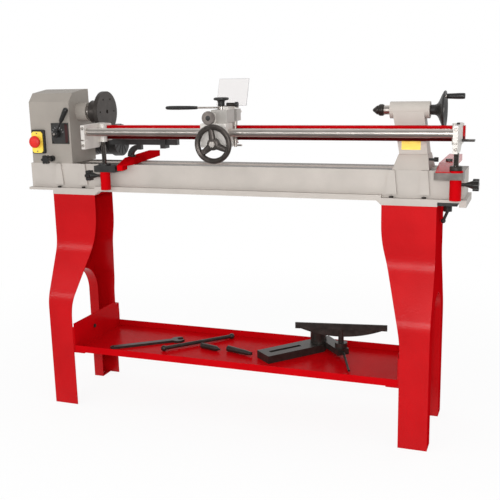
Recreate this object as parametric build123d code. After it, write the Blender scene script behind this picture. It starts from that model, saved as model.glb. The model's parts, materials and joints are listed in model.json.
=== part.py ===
"""Copying wood lathe on a sheet steel stand, built as separate named pieces.

Sizes are in millimetres. +X runs to the tailstock, +Y to the back and +Z up. The origin is
on the floor below the middle of the bed.
"""

import math
import os

from build123d import *

# Fits
RUN_FIT = 0.05  # radial clearance of a round shaft in its bore
SLIDE_GAP = 0.1  # gap between flat faces that slide on each other
SIDE_GAP = 0.3  # gap beside a piece that passes without touching
BOLT_PLAY = 0.3  # radial clearance of a bolt in its hole
FULL_TURN = 360.0
QUARTER_TURN = 90.0
CUT = 1.0  # how far a cutting tool runs past the face that it cuts

# Shapes of teeth, knobs and nuts
TOOTH_DEPTH = 1.25  # foot of a tooth below the pitch line, in modules
TOOTH_TIP = 1.0  # tip of a tooth above the pitch line, in modules
TOOTH_FOOT_SHARE = 0.27  # half width of a tooth at its foot, in pitches
TOOTH_TIP_SHARE = 0.09  # half width of a tooth at its tip, in pitches
STAR_CORE = 0.72  # circle of the lobes of a star knob, in knob radii
HEX_SIDES = 6

# Stand end frames
FRAME_X = 702.0  # outer face of each web from the middle of the machine
FRAME_SHEET = 3.0
FRAME_TOP = 793.0
LEG_TOP_Y = 91.0  # half depth at the bed
LEG_FOOT_Y = 175.0  # half depth at the floor
LEG_TURN_Z = 633.0  # height where a leg starts to swing outward
LEG_TURN_R = 150.0
LEG_LEAN = 23.5
FRONT_EDGE_TOP = 527.0  # inner edge of a front leg
FRONT_EDGE_FOOT = 607.0
FRONT_EDGE_TURN = 730.0
REAR_EDGE_TOP = 557.0  # inner edge of a rear leg
REAR_EDGE_FOOT = 622.0
REAR_EDGE_TURN = 690.0
EDGE_TURN_R = 400.0
EDGE_LEAN = 15.0
ARCH_HALF = 112.0
ARCH_SPRING = 375.0  # height where the arch starts to close
ARCH_LIP = 40.0
TOP_PLATE = 5.0
TOP_PLATE_X = 535.0
FOOT_PLATE = 4.0
FOOT_HOLE_R = 6.0

# Tool tray and the straps that carry it
TRAY_X = 604.0
TRAY_FRONT = -171.0
TRAY_BACK = 170.0
TRAY_Z = 210.0
TRAY_SHEET = 2.0
TRAY_LIP = 25.0
TRAY_END = 110.0
TRAY_END_DROP = 39.0
TRAY_END_CORNER = 38.0
TRAY_BOLT_Y = -30.0
TRAY_BOLT_Z = 269.0
STRAP_TAB = 46.0
STRAP_TOP = 306.0
STRAP_LEDGE = 40.0

# Hexagon bolts
BOLT_R = 4.0
BOLT_FLATS = 13.0
BOLT_HEAD = 5.5
BOLT_XS_LEFT = (-680.0, -578.0)
BOLT_XS_RIGHT = (556.0, 660.0)
BOLT_Y = 80.0
HEAD_BOLT_XS = (-768.0, -650.0)
HEAD_BOLT_Y = 45.0

# Bed
BED_TOP = 905.0
BED_X0 = -802.0
BED_X1 = 782.0
BED_Y = 73.0
BED_FOOT_X0 = -806.0
BED_FOOT_X1 = 792.0
BED_FOOT_Y = 91.0
BED_BOTTOM = 807.0
BED_FOOT = 18.0
BED_FOOT_TOP = 816.0  # top of the flange at the bolts
BED_WALL = 12.0
BED_CEILING = 884.0
SLOT_HALF = 24.0
SLOT_START = -600.0
SLOT_END = 764.0
PAD_X0 = 526.0
PAD_X1 = 703.0
PAD_SLOPE = 16.0
END_PAD_X = 770.0
RIB_XS = (-600.0, -200.0, 200.0, 600.0)
RIB_HALF = 6.0
RIB_TOP = 835.0
BOSS_Z = 827.0
BOSS_DEPTH = 7.0
BOSS_FOOT = 18.0
BOSS_HEAD = 10.0

# Headstock
AXIS_Z = 1090.0
HEAD_X0 = -792.0
HEAD_SPLIT = -700.0
HEAD_X1 = -622.0
HEAD_WALL = 12.0
HEAD_END_WALL = 18.0
HEAD_FRONT = -73.0
HEAD_BACK = 94.0
HEAD_LEFT = ((HEAD_FRONT, BED_TOP), (HEAD_FRONT, 1129), (-45, 1160), (45, 1172), (66, 1172),
             (HEAD_BACK, 1150), (HEAD_BACK, BED_TOP))
HEAD_RIGHT = ((HEAD_FRONT, BED_TOP), (HEAD_FRONT, 1129), (-45, 1160), (45, 1172), (66, 1172),
              (70, 1010), (HEAD_BACK, 960), (HEAD_BACK, BED_TOP))
WINDOW_X0 = -770.0
WINDOW_X1 = -712.0
WINDOW_Z0 = 935.0
WINDOW_Z1 = 1128.0
NOSE_BOSS_R = 34.0
NOSE_BOSS_X = -580.0
INNER_BOSS_X = -765.0
BEARING_R = 26.0
BEARING_X0S = (-790.0, -606.0)
BEARING_LENGTH = 15.0
SPINDLE_R = 12.5
SPINDLE_BORE = 6.0
SPINDLE_X0 = -800.0
SHAFT_ROOM = 16.0
COLLAR_X0 = -579.0
COLLAR_X1 = -565.0
COLLAR_R = 26.0
NOSE_R = 16.5
NOSE_X = -530.0
PLATE_BACK = -522.0
PLATE_FACE = -506.0
PLATE_R = 73.0
PLATE_HUB_R = 41.0
PLATE_HUB_MID = 38.0
PLATE_HUB_MID_X = -545.0
PLATE_HUB_END = 36.0
PLATE_HOLE_R = 3.5
PLATE_HOLE_CIRCLE = 50.0
PLATE_HOLES = 6
PLATE_EYE_R = 7.0

# Belt drive
BELT_X = -734.0
BELT_HALF = 7.0
BELT_THICK = 8.0
BELT_GAP = 0.6
GROOVE_FOOT = 7.4
GROOVE_TOP = 10.0
PULLEY_HALF = 12.0
RIM_OVER = 2.0
DRIVEN_R = 42.0  # inside of the belt on the spindle pulley
DRIVER_R = 26.0  # inside of the belt on the motor pulley
MOTOR_Y = 170.0
MOTOR_Z = 972.0
MOTOR_X0 = -692.0
MOTOR_X1 = -572.0
MOTOR_END = -545.0
MOTOR_R = 56.0
MOTOR_CAP_R = 62.0
MOTOR_CAP_END = 61.0
MOTOR_SHAFT_R = 9.5
MOTOR_SHAFT_X0 = -748.0
MOTOR_SHAFT_X1 = -668.0
MOTOR_BORE_X = -665.0
MOTOR_PORT_R = 25.0
MOTOR_PLATE_Y0 = 88.0
MOTOR_PLATE_Y1 = 240.0
MOTOR_PLATE_Z0 = 907.0
MOTOR_PLATE_Z1 = 1042.0
FIN_COUNT = 9
FIN_PITCH = 12.0
FIN_WIDTH = 4.0
FIN_DEPTH = 3.0
TERMINAL = (-652.0, -588.0, 195.0, 250.0, 985.0, 1030.0)
GLAND_R = 8.0
GLAND_X = -620.0
GLAND_Y = 232.0
GLAND_Z0 = 970.0
COVER_X0 = -788.0
COVER_SHEET = 2.0
COVER = ((HEAD_BACK, 1150), (120, 1150), (245, 1030), (245, 915), (HEAD_BACK, 915))

# Headstock controls
SPEED_X = -675.0
SPEED_Z = 1014.0
SPEED_PLATE = (-702.0, -629.0, -76.0, HEAD_FRONT, 977.0, 1053.0)
SPEED_SHAFT_R = 7.0
SPEED_HUB_R = 13.0
SPEED_HUB_Y0 = -98.0
SPEED_HUB_Y1 = -77.0
SPEED_ARM_Y = -91.0
SPEED_ARM_R = 4.0
SPEED_ARM = 44.0
SPEED_GRIP_FOOT = 6.0
SPEED_GRIP_HEAD = 9.0
SPEED_GRIP = 108.0
SPEED_LEAN = 30.0
SPEED_SHAFT_END = -50.0
FORK_HALF = 5.0
FORK_Y0 = -58.0
FORK_Z0 = 991.0
SWITCH = (-784.0, -730.0, -83.0, HEAD_FRONT, 941.0, 1029.0)
SWITCH_BODY_HALF = 19.0
SWITCH_BODY_BACK = -46.0
SWITCH_WALL = 3.0
SWITCH_FACE = -87.0
SWITCH_PLATE_X = (-782.0, -736.0)
SWITCH_PLATE_Z = (944.0, 1022.0)
SWITCH_CORNER = 7.0
STOP_X = -759.0
STOP_Z = 985.5
STOP_R = 22.0
STOP_FRONT = -112.0
STOP_BACK = -98.0
STOP_ROUND = 5.0
STOP_STEM_R = 8.0
STOP_KEEPER_R = 12.0
STOP_KEEPER = 4.0
STOP_END = -68.0
KNOB_X = -705.0
KNOB_Z = 923.0
KNOB_R = 17.0
KNOB_FRONT = -126.0
KNOB_BACK = -110.0
KNOB_STEM_R = 6.0
KNOB_COLLAR_R = 11.0
KNOB_COLLAR_Y = -85.0
KNOB_END = -64.0

# Tailstock
TAIL_X0 = 556.0
TAIL_X1 = 673.0
TAIL_Y = 72.0
TAIL_BASE_TOP = 951.0
TAIL_BASE_HEAD = (618.0, 94.0, 88.0)  # middle X, length, width
COLUMN_FOOT = (618.0, 90.0, 76.0)
COLUMN_HEAD = (596.0, 100.0, 52.0)
BARREL_X0 = 536.0
BARREL_X1 = 663.0
BARREL_R = 27.0
BARREL_WALL_X = 650.0
QUILL_R = 15.0
QUILL_X0 = 516.0
QUILL_X1 = 640.0
QUILL_NOSE = 550.0
SCREW_R = 8.0
SCREW_X0 = 565.0
SCREW_ROOM = 0.4
WHEEL_HUB_X = 664.0
WHEEL_HUB_R = 16.0
WHEEL_RIM_X1 = 711.0
WHEEL_R = 60.0
WHEEL_RIM_IN = 50.0
WHEEL_FLARE = ((677.0, 16.0), (684.0, 20.0), (689.0, 29.0), (692.0, 42.0), (695.0, 55.0), (699.0, WHEEL_R),
               (706.0, WHEEL_R), (WHEEL_RIM_X1, 56.0))
WHEEL_WEB_X = 701.0
WHEEL_BOWL_X = 693.0
WHEEL_BOSS_R = 14.0
WHEEL_BOSS_X = 704.0
WHEEL_BOWL_R = 22.0
CRANK_R = 42.0  # distance of the crank pin from the axis
CRANK_PIN_R = 4.0
CRANK_PIN_X0 = 696.0
CRANK_PIN_X1 = 764.0
GRIP_X0 = 713.0
GRIP_X1 = 769.0
GRIP_ENDS = 7.0
GRIP_MIDDLE = 8.2
GRIP_MID_X = 748.0
CENTRE_SHANK_R = 9.0
CENTRE_SHANK_X = 545.0
CENTRE_R = 19.0
CENTRE_FACE_R = 16.0
CENTRE_ROUND = 5.0
CENTRE_X0 = 497.0
POINT_TIP_X = 478.0
POINT_TIP_R = 3.0
POINT_R = 14.5
POINT_SHOULDER = 492.0
POINT_STEM_R = 5.0
POINT_STEM_X = 519.0
GUIDE_X0 = 570.0
GUIDE_X1 = 660.0
GUIDE_Z0 = 887.0
TAIL_CLAMP_X0 = 588.0
TAIL_CLAMP_X1 = 638.0
TAIL_CLAMP_Y = 45.0
TAIL_CLAMP_Z0 = 866.0
TAIL_BOLT_R = 6.0
TAIL_BOLT_Z0 = 856.0
TAIL_BOLT_Z1 = 938.0
TAIL_NUT_R = 11.0
TAIL_KNOB_Y = -40.0
TAIL_KNOB_Z = 936.5
TAIL_KNOB_X0 = 684.0
TAIL_KNOB_X1 = 697.0
TAIL_KNOB_R = 8.0
TAIL_KNOB_STEM_R = 4.0
TAIL_KNOB_END = 640.0

# Copying frame
POST_Y = -110.0
POST_XS = (-466.0, 759.0)
POST_R = 8.0
POST_Z0 = 820.0
POST_Z1 = 1045.0
SOCKET_R = 18.0
SOCKET_Z0 = 818.0
MOUNT_Z0 = 883.0
MOUNT_FRONT = -130.0
MOUNT_XS = ((-499.0, -414.0), (695.0, 783.0))
RING_R = 22.0
RING_TOP = 911.0
STAR_Z = 868.0
STAR_R = 20.0
STAR_LOBES = 6
STAR_STEM_R = 5.0
STAR_HEADS = ((-540.0, -522.0), (829.0, 811.0))
STAR_NECK = 24.0
STAR_NECK_R = 13.0
BRACKET_XS = ((-488.0, -474.0), (758.0, 772.0))
BRACKET = ((-220, 972), (-220, 1054), (-90, 1056), (-32, 1050), (-32, 990), (-95, 990), (-125, 972))
BRACKET_NOTCH = (-220.0, -205.0, 1000.0, 1005.0)
BRACKET_BOSS_R = 15.0
BRACKET_BOSS_Z0 = 990.0
BRACKET_BOSS_Z1 = 1054.0
BAR_Y = -200.0
BAR_Z = 1030.0
BAR_R = 13.0
BEAM_X1 = 778.0
BEAM_Y0 = -66.0
BEAM_Y1 = -40.0
BEAM_Z0 = 996.0
BEAM_Z1 = 1044.0
RACK_MODULE = 3.0
RACK_X0 = -440.0
RACK_X1 = 736.0
RACK_Y0 = -81.0
RACK_LINE_Z = 1015.0
RACK_TOP = 1035.0
LOCK_Z = 1003.0
LOCK_STEM_R = 4.0
LOCK_STEM = 22.0
LOCK_WING = 18.0
LOCK_WING_HALF = 14.0
LOCK_WING_THICK = 3.0

# Cross arms, clamp and template rail
ARM_HALF = 22.0
ARM_WALL = 4.0
ARM_FRONT = -130.0
ARM_NOSE = 3.0
ARM_SLOPE_END = -45.0
ARM_TOP = 927.0
ARM_BACK = 243.0
ARM_RIGHT_X = 722.0
ARM_LEFT_X = -403.0
ARM_LEFT_TURN = 9.1
ARM_LUG_BACK = -79.0
ARM_LUG_X1 = -2.0
ARM_LUG_Z0 = 889.0
ARM_BOLT_R = 6.0
ARM_BOLT_FLATS = 19.0
ARM_BOLT_HEAD = 8.0
ARM_BOLT_LEFT = (-400.3, -16.5)
ARM_BOLT_RIGHT = (726.0, 0.0)
ARM_NUT_Z0 = 870.0
ARM_NUT_HALF = 25.0
ARM_NUT_Y = 45.0
CLAMP_PLATE = (704.0, 764.0, -85.0, 85.0, 795.0, BED_BOTTOM)
CLAMP_HUB_R = 14.0
CLAMP_HUB_Z = 765.0
CLAMP_CAP = 8.0
CLAMP_LEVER_R = 5.0
CLAMP_BALL_R = 8.0
CLAMP_BALL_X = 713.0
CLAMP_BALL_Z = 733.0
RAIL = (-500.0, -226.0, -6.0, 14.0, 970.0, 990.0)
RAIL_FOOT_X = -386.0
RAIL_FOOT_R0 = 25.0
RAIL_FOOT_R1 = 43.0
RAIL_FOOT_Y = (-5.0, 13.0)
RAIL_PAD = 14.0
RAIL_STOP = (-290.0, -270.0, -14.0, 22.0, 958.0, 996.0)

# Carriage
SADDLE_X0 = -38.0
SADDLE_X1 = 52.0
SHOE_X1 = 16.0
SADDLE_FRONT = -228.0
SADDLE_BLOCK_BACK = -172.0
SADDLE_BOTTOM = 984.0
SADDLE_TOP = 1060.0
SKIRT_BACK = -28.0
KEEPER_X0 = -28.0
KEEPER_X1 = 10.0
KEEPER_Z0 = 984.0
HANGER = (-5.0, 26.0, -106.0, -94.0)
DRIVE_X = 15.0
PINION_TEETH = 12
PINION_BACK = -67.0
MESH_ROOM = 0.3
DRIVE_SHAFT_R = 7.0
HANDWHEEL_Y = -250.0
HANDWHEEL_R = 54.0
HANDWHEEL_TUBE = 9.0
HANDWHEEL_HUB_R = 17.0
HANDWHEEL_HUB_Y0 = -258.0
HANDWHEEL_HUB_Y1 = -236.0
HANDWHEEL_SPOKE_R = 6.0
HANDWHEEL_SPOKES = (98.0, 218.0, 338.0)
HANDWHEEL_BOSS_R = 9.0
HANDWHEEL_BOSS_Y0 = -259.0
HANDWHEEL_BOSS_AT = 38.0
DRIVE_NUT_R = 9.0
DRIVE_NUT_Y = -262.0
DIAL_X = -5.0
DIAL_Z = 1078.5
DIAL_R = 22.0
DIAL_Y0 = -240.0
DIAL_Y1 = -229.0
DIAL_STEM_R = 5.0
DIAL_END = -208.0
DIAL_LUG = (-20.0, 10.0, -228.0, -205.0, 1060.0, 1092.0)
HOUSING = (-14.0, 41.0, -190.0, -122.0, 1060.0, 1102.0)
HOUSING_WALL = 4.5
LEVER_X = 6.0
LEVER_Y = -148.0
LEVER_TEETH = 16
LEVER_MODULE = 1.5
LEVER_SPINDLE_R = 6.0
LEVER_POCKET_R = 14.2
LEVER_MESH = 0.2
LEVER_GEAR = (1074.0, 1092.0)
LEVER_FOOT_Z = 1062.0
LEVER_COLLAR_Z = 1093.6
LEVER_HUB_R = 13.0
LEVER_HUB_Z = 1103.0
LEVER_HUB_TOP = 1113.0
LEVER_ROD_Z = 1108.0
LEVER_ROD_R = 3.0
LEVER_GRIP_X = -80.0
LEVER_GRIP_END = -196.0
LEVER_GRIP_R = 6.75
LEVER_NECK_R = 11.5
LEVER_CAP_Z0 = 1131.0
LEVER_CAP_Z1 = 1141.0
LEVER_CAP_R = 25.0
RAM_X1 = 34.0
RAM_Y0 = -181.0
RAM_Y1 = -75.0
RAM_Z0 = 1073.0
RAM_Z1 = 1093.0
RAM_RACK_Y0 = -176.0
RAM_RACK_Y1 = -120.0
HOLDER = (20.5, 44.0, -108.0, -70.0, 1062.0, 1101.0)
CUTTER_X = 30.0
CUTTER_Z = 1090.0
CUTTER_R = 6.0
CUTTER_Y0 = -100.0
CUTTER_SHOULDER = -40.0
CUTTER_TIP = -28.0
CUTTER_TIP_R = 1.0
PIN_X = 33.0
PIN_Y = -96.0
PIN_R = 5.0
PIN_Z0 = 975.0
PIN_Z1 = 1081.0
LATCH_X = -6.0
LATCH_Y = -47.0
LATCH_HUB_R = 9.0
LATCH_Z0 = 971.0
LATCH_STEM_R = 4.0
LATCH_STEM_Z = 993.0
LATCH_ARM = 43.0
LATCH_ARM_HALF = 3.5
LATCH_ARM_Z = (973.0, 979.0)
HOLDER_PLATE = (22.0, 40.0, -175.0, -115.0, 1102.0, 1112.0)
HOLDER_ROD_Y = -132.0
HOLDER_ROD_Z = 1117.0
HOLDER_ROD_X = (19.0, 58.0)
HOLDER_ROD_R = 6.0
HOLDER_TAB = (22.0, 54.0, -118.0, -112.0, 1104.0, 1122.0)
SHIELD_X = (-26.0, 80.0)
SHIELD_Y = -112.0
SHIELD_Z = 1113.0
SHIELD_THICK = 3.0
SHIELD_HEIGHT = 93.0
SHIELD_LEAN = 21.0

# Things that lie on the tray
LOOSE_Z = TRAY_Z + TRAY_SHEET
WRENCH_ENDS = ((-480.0, -105.0), (-280.0, 45.0))
WRENCH_HALF = 11.0
WRENCH_THICK = 9.0
WRENCH_HEAD_R = 26.0
WRENCH_JAW_HALF = 12.0
WRENCH_EYE_R = 5.0
BAR_ENDS = ((-282.0, -75.0), (-90.0, 128.0))
BAR_ROD_R = 7.0
BAR_BALL_R = 11.0
DEAD_CENTRE = ((-160.0, -2.0), (-74.0, -26.0))
DEAD_CENTRE_R = (10.0, 10.0, 1.0)
SPUR_CENTRE = ((-52.0, -8.0), (52.0, -40.0))
SPUR_CENTRE_R = (11.0, 9.0, 6.0)
BANJO_ENDS = ((105.0, -68.0), (262.0, 112.0))
BANJO_HALF = 40.0
BANJO_THICK = 28.0
BANJO_SLOT_HALF = 8.0
BANJO_SLOT = (-90.0, 40.0)
BANJO_POST_R = 30.0
BANJO_POST_TOP = 292.0
BANJO_ARM_ENDS = ((272.0, 146.0), (376.0, 28.0))
BANJO_ARM_HALF = 22.0
BANJO_ARM_Z = (228.0, 250.0)
BANJO_SOCKET_R = 22.0
BANJO_SOCKET_TOP = 268.0
BANJO_LEVER_END = (424.0, -92.0, 218.0)
BANJO_LEVER_R = 4.0
REST_X = 362.0
REST_Y = 50.0
REST_STEM_R = 10.0
REST_STEM_Z = 232.0
REST_TURN = 9.4
REST_HALF = 163.0
REST_Z0 = 318.0
REST_Z1 = 340.0
REST_DEPTH = 14.0
REST_TOP_DEPTH = 6.0
REST_WEB_HALF = 150.0
REST_WEB_THICK = 6.0
REST_WEB_Z = 290.0


def block(x0, x1, y0, y1, z0, z1):
    """Box between two corners."""
    middle = Pos((x0 + x1) / 2, (y0 + y1) / 2, (z0 + z1) / 2)
    return middle * Box(abs(x1 - x0), abs(y1 - y0), abs(z1 - z0))


def rod_x(x0, x1, y, z, radius):
    """Round bar along X."""
    return Pos((x0 + x1) / 2, y, z) * Rot(0, QUARTER_TURN, 0) * Cylinder(radius, abs(x1 - x0))


def rod_y(y0, y1, x, z, radius):
    """Round bar along Y."""
    return Pos(x, (y0 + y1) / 2, z) * Rot(QUARTER_TURN, 0, 0) * Cylinder(radius, abs(y1 - y0))


def rod_z(z0, z1, x, y, radius):
    """Round bar along Z."""
    return Pos(x, y, (z0 + z1) / 2) * Cylinder(radius, abs(z1 - z0))


def outline(points):
    """Flat face inside a closed line of points."""
    return make_face(Polyline(*points, close=True))


def along_x(face, x0, x1):
    """Solid from a face drawn in Y and Z."""
    return extrude(Plane.YZ.offset(x0) * face, x1 - x0, dir=(1, 0, 0))


def along_y(face, y0, y1):
    """Solid from a face drawn in X and Z."""
    plane = Plane((0, y0, 0), x_dir=(1, 0, 0), z_dir=(0, -1, 0))
    return extrude(plane * face, y1 - y0, dir=(0, 1, 0))


def along_z(face, z0, z1):
    """Solid from a face drawn in X and Y."""
    return extrude(Plane.XY.offset(z0) * face, z1 - z0, dir=(0, 0, 1))


def turned_x(points, y, z):
    """Turned piece about an X axis, from pairs of X and radius."""
    return Pos(0, y, z) * revolve(outline(points), Axis.X)


def turned_y(points, x, z):
    """Turned piece about a Y axis, from pairs of Y and radius."""
    return Pos(x, 0, z) * Rot(0, 0, QUARTER_TURN) * revolve(outline(points), Axis.X)


def turned_z(points, x, y):
    """Turned piece about a Z axis, from pairs of Z and radius."""
    return Pos(x, y, 0) * Rot(0, -QUARTER_TURN, 0) * revolve(outline(points), Axis.X)


def on_line(ends, z, shape):
    """Puts a shape that lies along X, middle at zero, on the line between two floor points."""
    (x0, y0), (x1, y1) = ends
    turn = math.degrees(math.atan2(y1 - y0, x1 - x0))
    return Pos((x0 + x1) / 2, (y0 + y1) / 2, z) * Rot(0, 0, turn) * shape


def gear(teeth, module, first):
    """Face of a gear with one tooth pointing at the angle first."""
    step = FULL_TURN / teeth
    pitch_r = teeth * module / 2
    shape = ((-TOOTH_DEPTH, TOOTH_FOOT_SHARE), (TOOTH_TIP, TOOTH_TIP_SHARE), (TOOTH_TIP, -TOOTH_TIP_SHARE),
             (-TOOTH_DEPTH, -TOOTH_FOOT_SHARE))
    points = []
    for tooth in range(teeth):
        for rise, share in shape:
            radius = pitch_r + rise * module
            angle = math.radians(first + tooth * step - share * step)
            points.append((radius * math.cos(angle), radius * math.sin(angle)))
    return outline(points)


def rack_points(start, end, middle, module):
    """Pairs of position and depth along a rack with a gap at middle."""
    pitch = math.pi * module
    first = math.ceil((start - middle) / pitch + 1)
    last = math.floor((end - middle) / pitch - 1)
    shape = ((-TOOTH_FOOT_SHARE, TOOTH_DEPTH), (-TOOTH_TIP_SHARE, -TOOTH_TIP), (TOOTH_TIP_SHARE, -TOOTH_TIP),
             (TOOTH_FOOT_SHARE, TOOTH_DEPTH))
    points = []
    for tooth in range(first, last):
        for share, depth in shape:
            points.append((middle + pitch / 2 + (tooth + share) * pitch, depth * module))
    return points


def star(radius, lobes):
    """Face of a star knob."""
    core = radius * STAR_CORE
    face = Circle(core)
    for lobe in range(lobes):
        angle = math.radians(lobe * FULL_TURN / lobes)
        face += Pos(core * math.cos(angle), core * math.sin(angle)) * Circle(radius - core)
    return face


def tapered(foot, foot_z, head, head_z):
    """Solid between two level rectangles, each given by its middle X, length and width."""
    ends = []
    for (x, length, width), z in ((foot, foot_z), (head, head_z)):
        ends.append(Plane((x, 0, z)) * Rectangle(length, width))
    return loft(ends)


def hexagon(flats):
    """Face of a hexagon with the given width across flats."""
    return RegularPolygon(flats / 2, HEX_SIDES, major_radius=False)


def swing_edge(top, foot, turn_z, radius, lean, inset=0.0):
    """Edges of a line that runs down from the frame top and swings over to foot."""
    side = 1 if foot > top else -1
    angle = math.radians(lean)
    straight = abs(foot - top) - 2 * radius * (1 - math.cos(angle))
    low_z = turn_z - 2 * radius * math.sin(angle) - straight / math.tan(angle)

    def high(turn):
        reach = (radius + inset) * math.cos(turn)
        return (top + side * (radius - reach), turn_z - (radius + inset) * math.sin(turn))

    def low(turn):
        reach = (radius - inset) * math.cos(turn)
        return (foot - side * (radius - reach), low_z + (radius - inset) * math.sin(turn))

    return [
        Line((high(0)[0], FRAME_TOP), high(0)),
        ThreePointArc(high(0), high(angle / 2), high(angle)),
        Line(high(angle), low(angle)),
        ThreePointArc(low(angle), low(angle / 2), low(0)),
        Line(low(0), (low(0)[0], 0)),
    ]


def between(first, second):
    """Face between two lines that start and end at the same heights."""
    ends = [Line(first[0] @ 0, second[0] @ 0), Line(first[-1] @ 1, second[-1] @ 1)]
    return make_face(first + second + ends)


def leg(side, edge_top, edge_foot, edge_turn):
    """One folded leg of the right hand frame, side is -1 at the front and 1 at the back."""
    path = (side * LEG_TOP_Y, side * LEG_FOOT_Y, LEG_TURN_Z, LEG_TURN_R, LEG_LEAN)
    sheet = along_x(between(swing_edge(*path), swing_edge(*path, FRAME_SHEET)), 0, FRAME_X)
    edge = swing_edge(edge_top, edge_foot, edge_turn, EDGE_TURN_R, EDGE_LEAN)
    far = [Line((FRAME_X, FRAME_TOP), (FRAME_X, 0))]
    reach = LEG_FOOT_Y + CUT
    return sheet & along_y(between(edge, far), -reach, reach)


def end_frame(bolt_xs):
    """Right hand end frame of the stand, welded from folded sheet."""
    inner = FRAME_X - FRAME_SHEET
    front = swing_edge(-LEG_TOP_Y, -LEG_FOOT_Y, LEG_TURN_Z, LEG_TURN_R, LEG_LEAN)
    back = swing_edge(LEG_TOP_Y, LEG_FOOT_Y, LEG_TURN_Z, LEG_TURN_R, LEG_LEAN)
    frame = along_x(between(front, back), inner, FRAME_X)
    frame += leg(-1, FRONT_EDGE_TOP, FRONT_EDGE_FOOT, FRONT_EDGE_TURN)
    frame += leg(1, REAR_EDGE_TOP, REAR_EDGE_FOOT, REAR_EDGE_TURN)
    lip_x = FRAME_X - ARCH_LIP
    lip_half = ARCH_HALF + FRAME_SHEET
    lip = block(lip_x, FRAME_X, -lip_half, lip_half, 0, ARCH_SPRING)
    lip += rod_x(lip_x, FRAME_X, 0, ARCH_SPRING, lip_half)
    arch = block(lip_x - CUT, FRAME_X + CUT, -ARCH_HALF, ARCH_HALF, -CUT, ARCH_SPRING)
    arch += rod_x(lip_x - CUT, FRAME_X + CUT, 0, ARCH_SPRING, ARCH_HALF)
    frame = frame + lip - arch
    top_half = LEG_TOP_Y - FRAME_SHEET
    frame += block(TOP_PLATE_X, inner, -top_half, top_half, FRAME_TOP - TOP_PLATE, FRAME_TOP)
    foot_half = LEG_FOOT_Y - FRAME_SHEET
    strap_x = TRAY_X + FRAME_SHEET
    ledge_z = TRAY_Z - FRAME_SHEET
    frame += block(TRAY_X, strap_x, -foot_half, foot_half, ledge_z, STRAP_TOP)
    frame += block(TRAY_X - STRAP_LEDGE, strap_x, -foot_half, foot_half, ledge_z, TRAY_Z)
    for side in (-1, 1):
        tab_y = side * (foot_half - FRAME_SHEET)
        frame += block(TRAY_X, TRAY_X + STRAP_TAB, side * foot_half, tab_y, ledge_z, STRAP_TOP)
        frame += block(lip_x, inner, side * ARCH_HALF, side * foot_half, 0, FOOT_PLATE)
        foot_y = side * (lip_half + foot_half) / 2
        frame -= rod_z(-CUT, FOOT_PLATE + CUT, (lip_x + inner) / 2, foot_y, FOOT_HOLE_R)
        for x in bolt_xs:
            hole_z = FRAME_TOP - TOP_PLATE
            frame -= rod_z(hole_z - CUT, FRAME_TOP + CUT, x, side * BOLT_Y, BOLT_R + BOLT_PLAY)
    frame -= rod_x(TRAY_X - CUT, strap_x + CUT, TRAY_BOLT_Y, TRAY_BOLT_Z, BOLT_R + BOLT_PLAY)
    return frame


def tray():
    """Tool tray with low lips and upright ends."""
    floor_top = TRAY_Z + TRAY_SHEET
    lip_top = TRAY_Z + TRAY_LIP
    shape = block(-TRAY_X, TRAY_X, TRAY_FRONT, TRAY_BACK, TRAY_Z, floor_top)
    shape += block(-TRAY_X, TRAY_X, TRAY_FRONT, TRAY_FRONT + TRAY_SHEET, TRAY_Z, lip_top)
    shape += block(-TRAY_X, TRAY_X, TRAY_BACK - TRAY_SHEET, TRAY_BACK, TRAY_Z, lip_top)
    end_top = TRAY_Z + TRAY_END
    end = outline([(TRAY_FRONT, TRAY_Z), (TRAY_FRONT, end_top),
                   (TRAY_BACK - TRAY_END_CORNER, end_top - TRAY_SHEET),
                   (TRAY_BACK, end_top - TRAY_END_DROP), (TRAY_BACK, TRAY_Z)])
    for x in (-TRAY_X, TRAY_X - TRAY_SHEET):
        shape += along_x(end, x, x + TRAY_SHEET)
        hole = (x - CUT, x + TRAY_SHEET + CUT, TRAY_BOLT_Y, TRAY_BOLT_Z)
        shape -= rod_x(*hole, BOLT_R + BOLT_PLAY)
    return shape


def hex_bolt(flats, radius, head, grip):
    """Bolt down the Z axis with its head on zero and a nut below the gripped thickness."""
    tail = grip + head + CUT
    face = hexagon(flats)
    return along_z(face, 0, head) + rod_z(-tail, 0, 0, 0, radius) + along_z(face, -grip - head, -grip)


def frame_bolts():
    """Bolts that hold the stand, the tray and the headstock."""
    group = []
    bolt = hex_bolt(BOLT_FLATS, BOLT_R, BOLT_HEAD, BED_FOOT_TOP - FRAME_TOP + TOP_PLATE)
    for x in (*BOLT_XS_LEFT, *BOLT_XS_RIGHT):
        for side in (-1, 1):
            group.append(Pos(x, side * BOLT_Y, BED_FOOT_TOP) * bolt)
    bolt = hex_bolt(BOLT_FLATS, BOLT_R, BOLT_HEAD, TRAY_SHEET + FRAME_SHEET)
    for side in (-1, 1):
        spot = Pos(side * (TRAY_X - TRAY_SHEET), TRAY_BOLT_Y, TRAY_BOLT_Z)
        group.append(spot * Rot(0, -side * QUARTER_TURN, 0) * bolt)
    bolt = hex_bolt(BOLT_FLATS, BOLT_R, BOLT_HEAD, BED_TOP + HEAD_WALL - BED_CEILING)
    for x in HEAD_BOLT_XS:
        for side in (-1, 1):
            group.append(Pos(x, side * HEAD_BOLT_Y, BED_TOP + HEAD_WALL) * bolt)
    return Compound(children=group)


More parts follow.
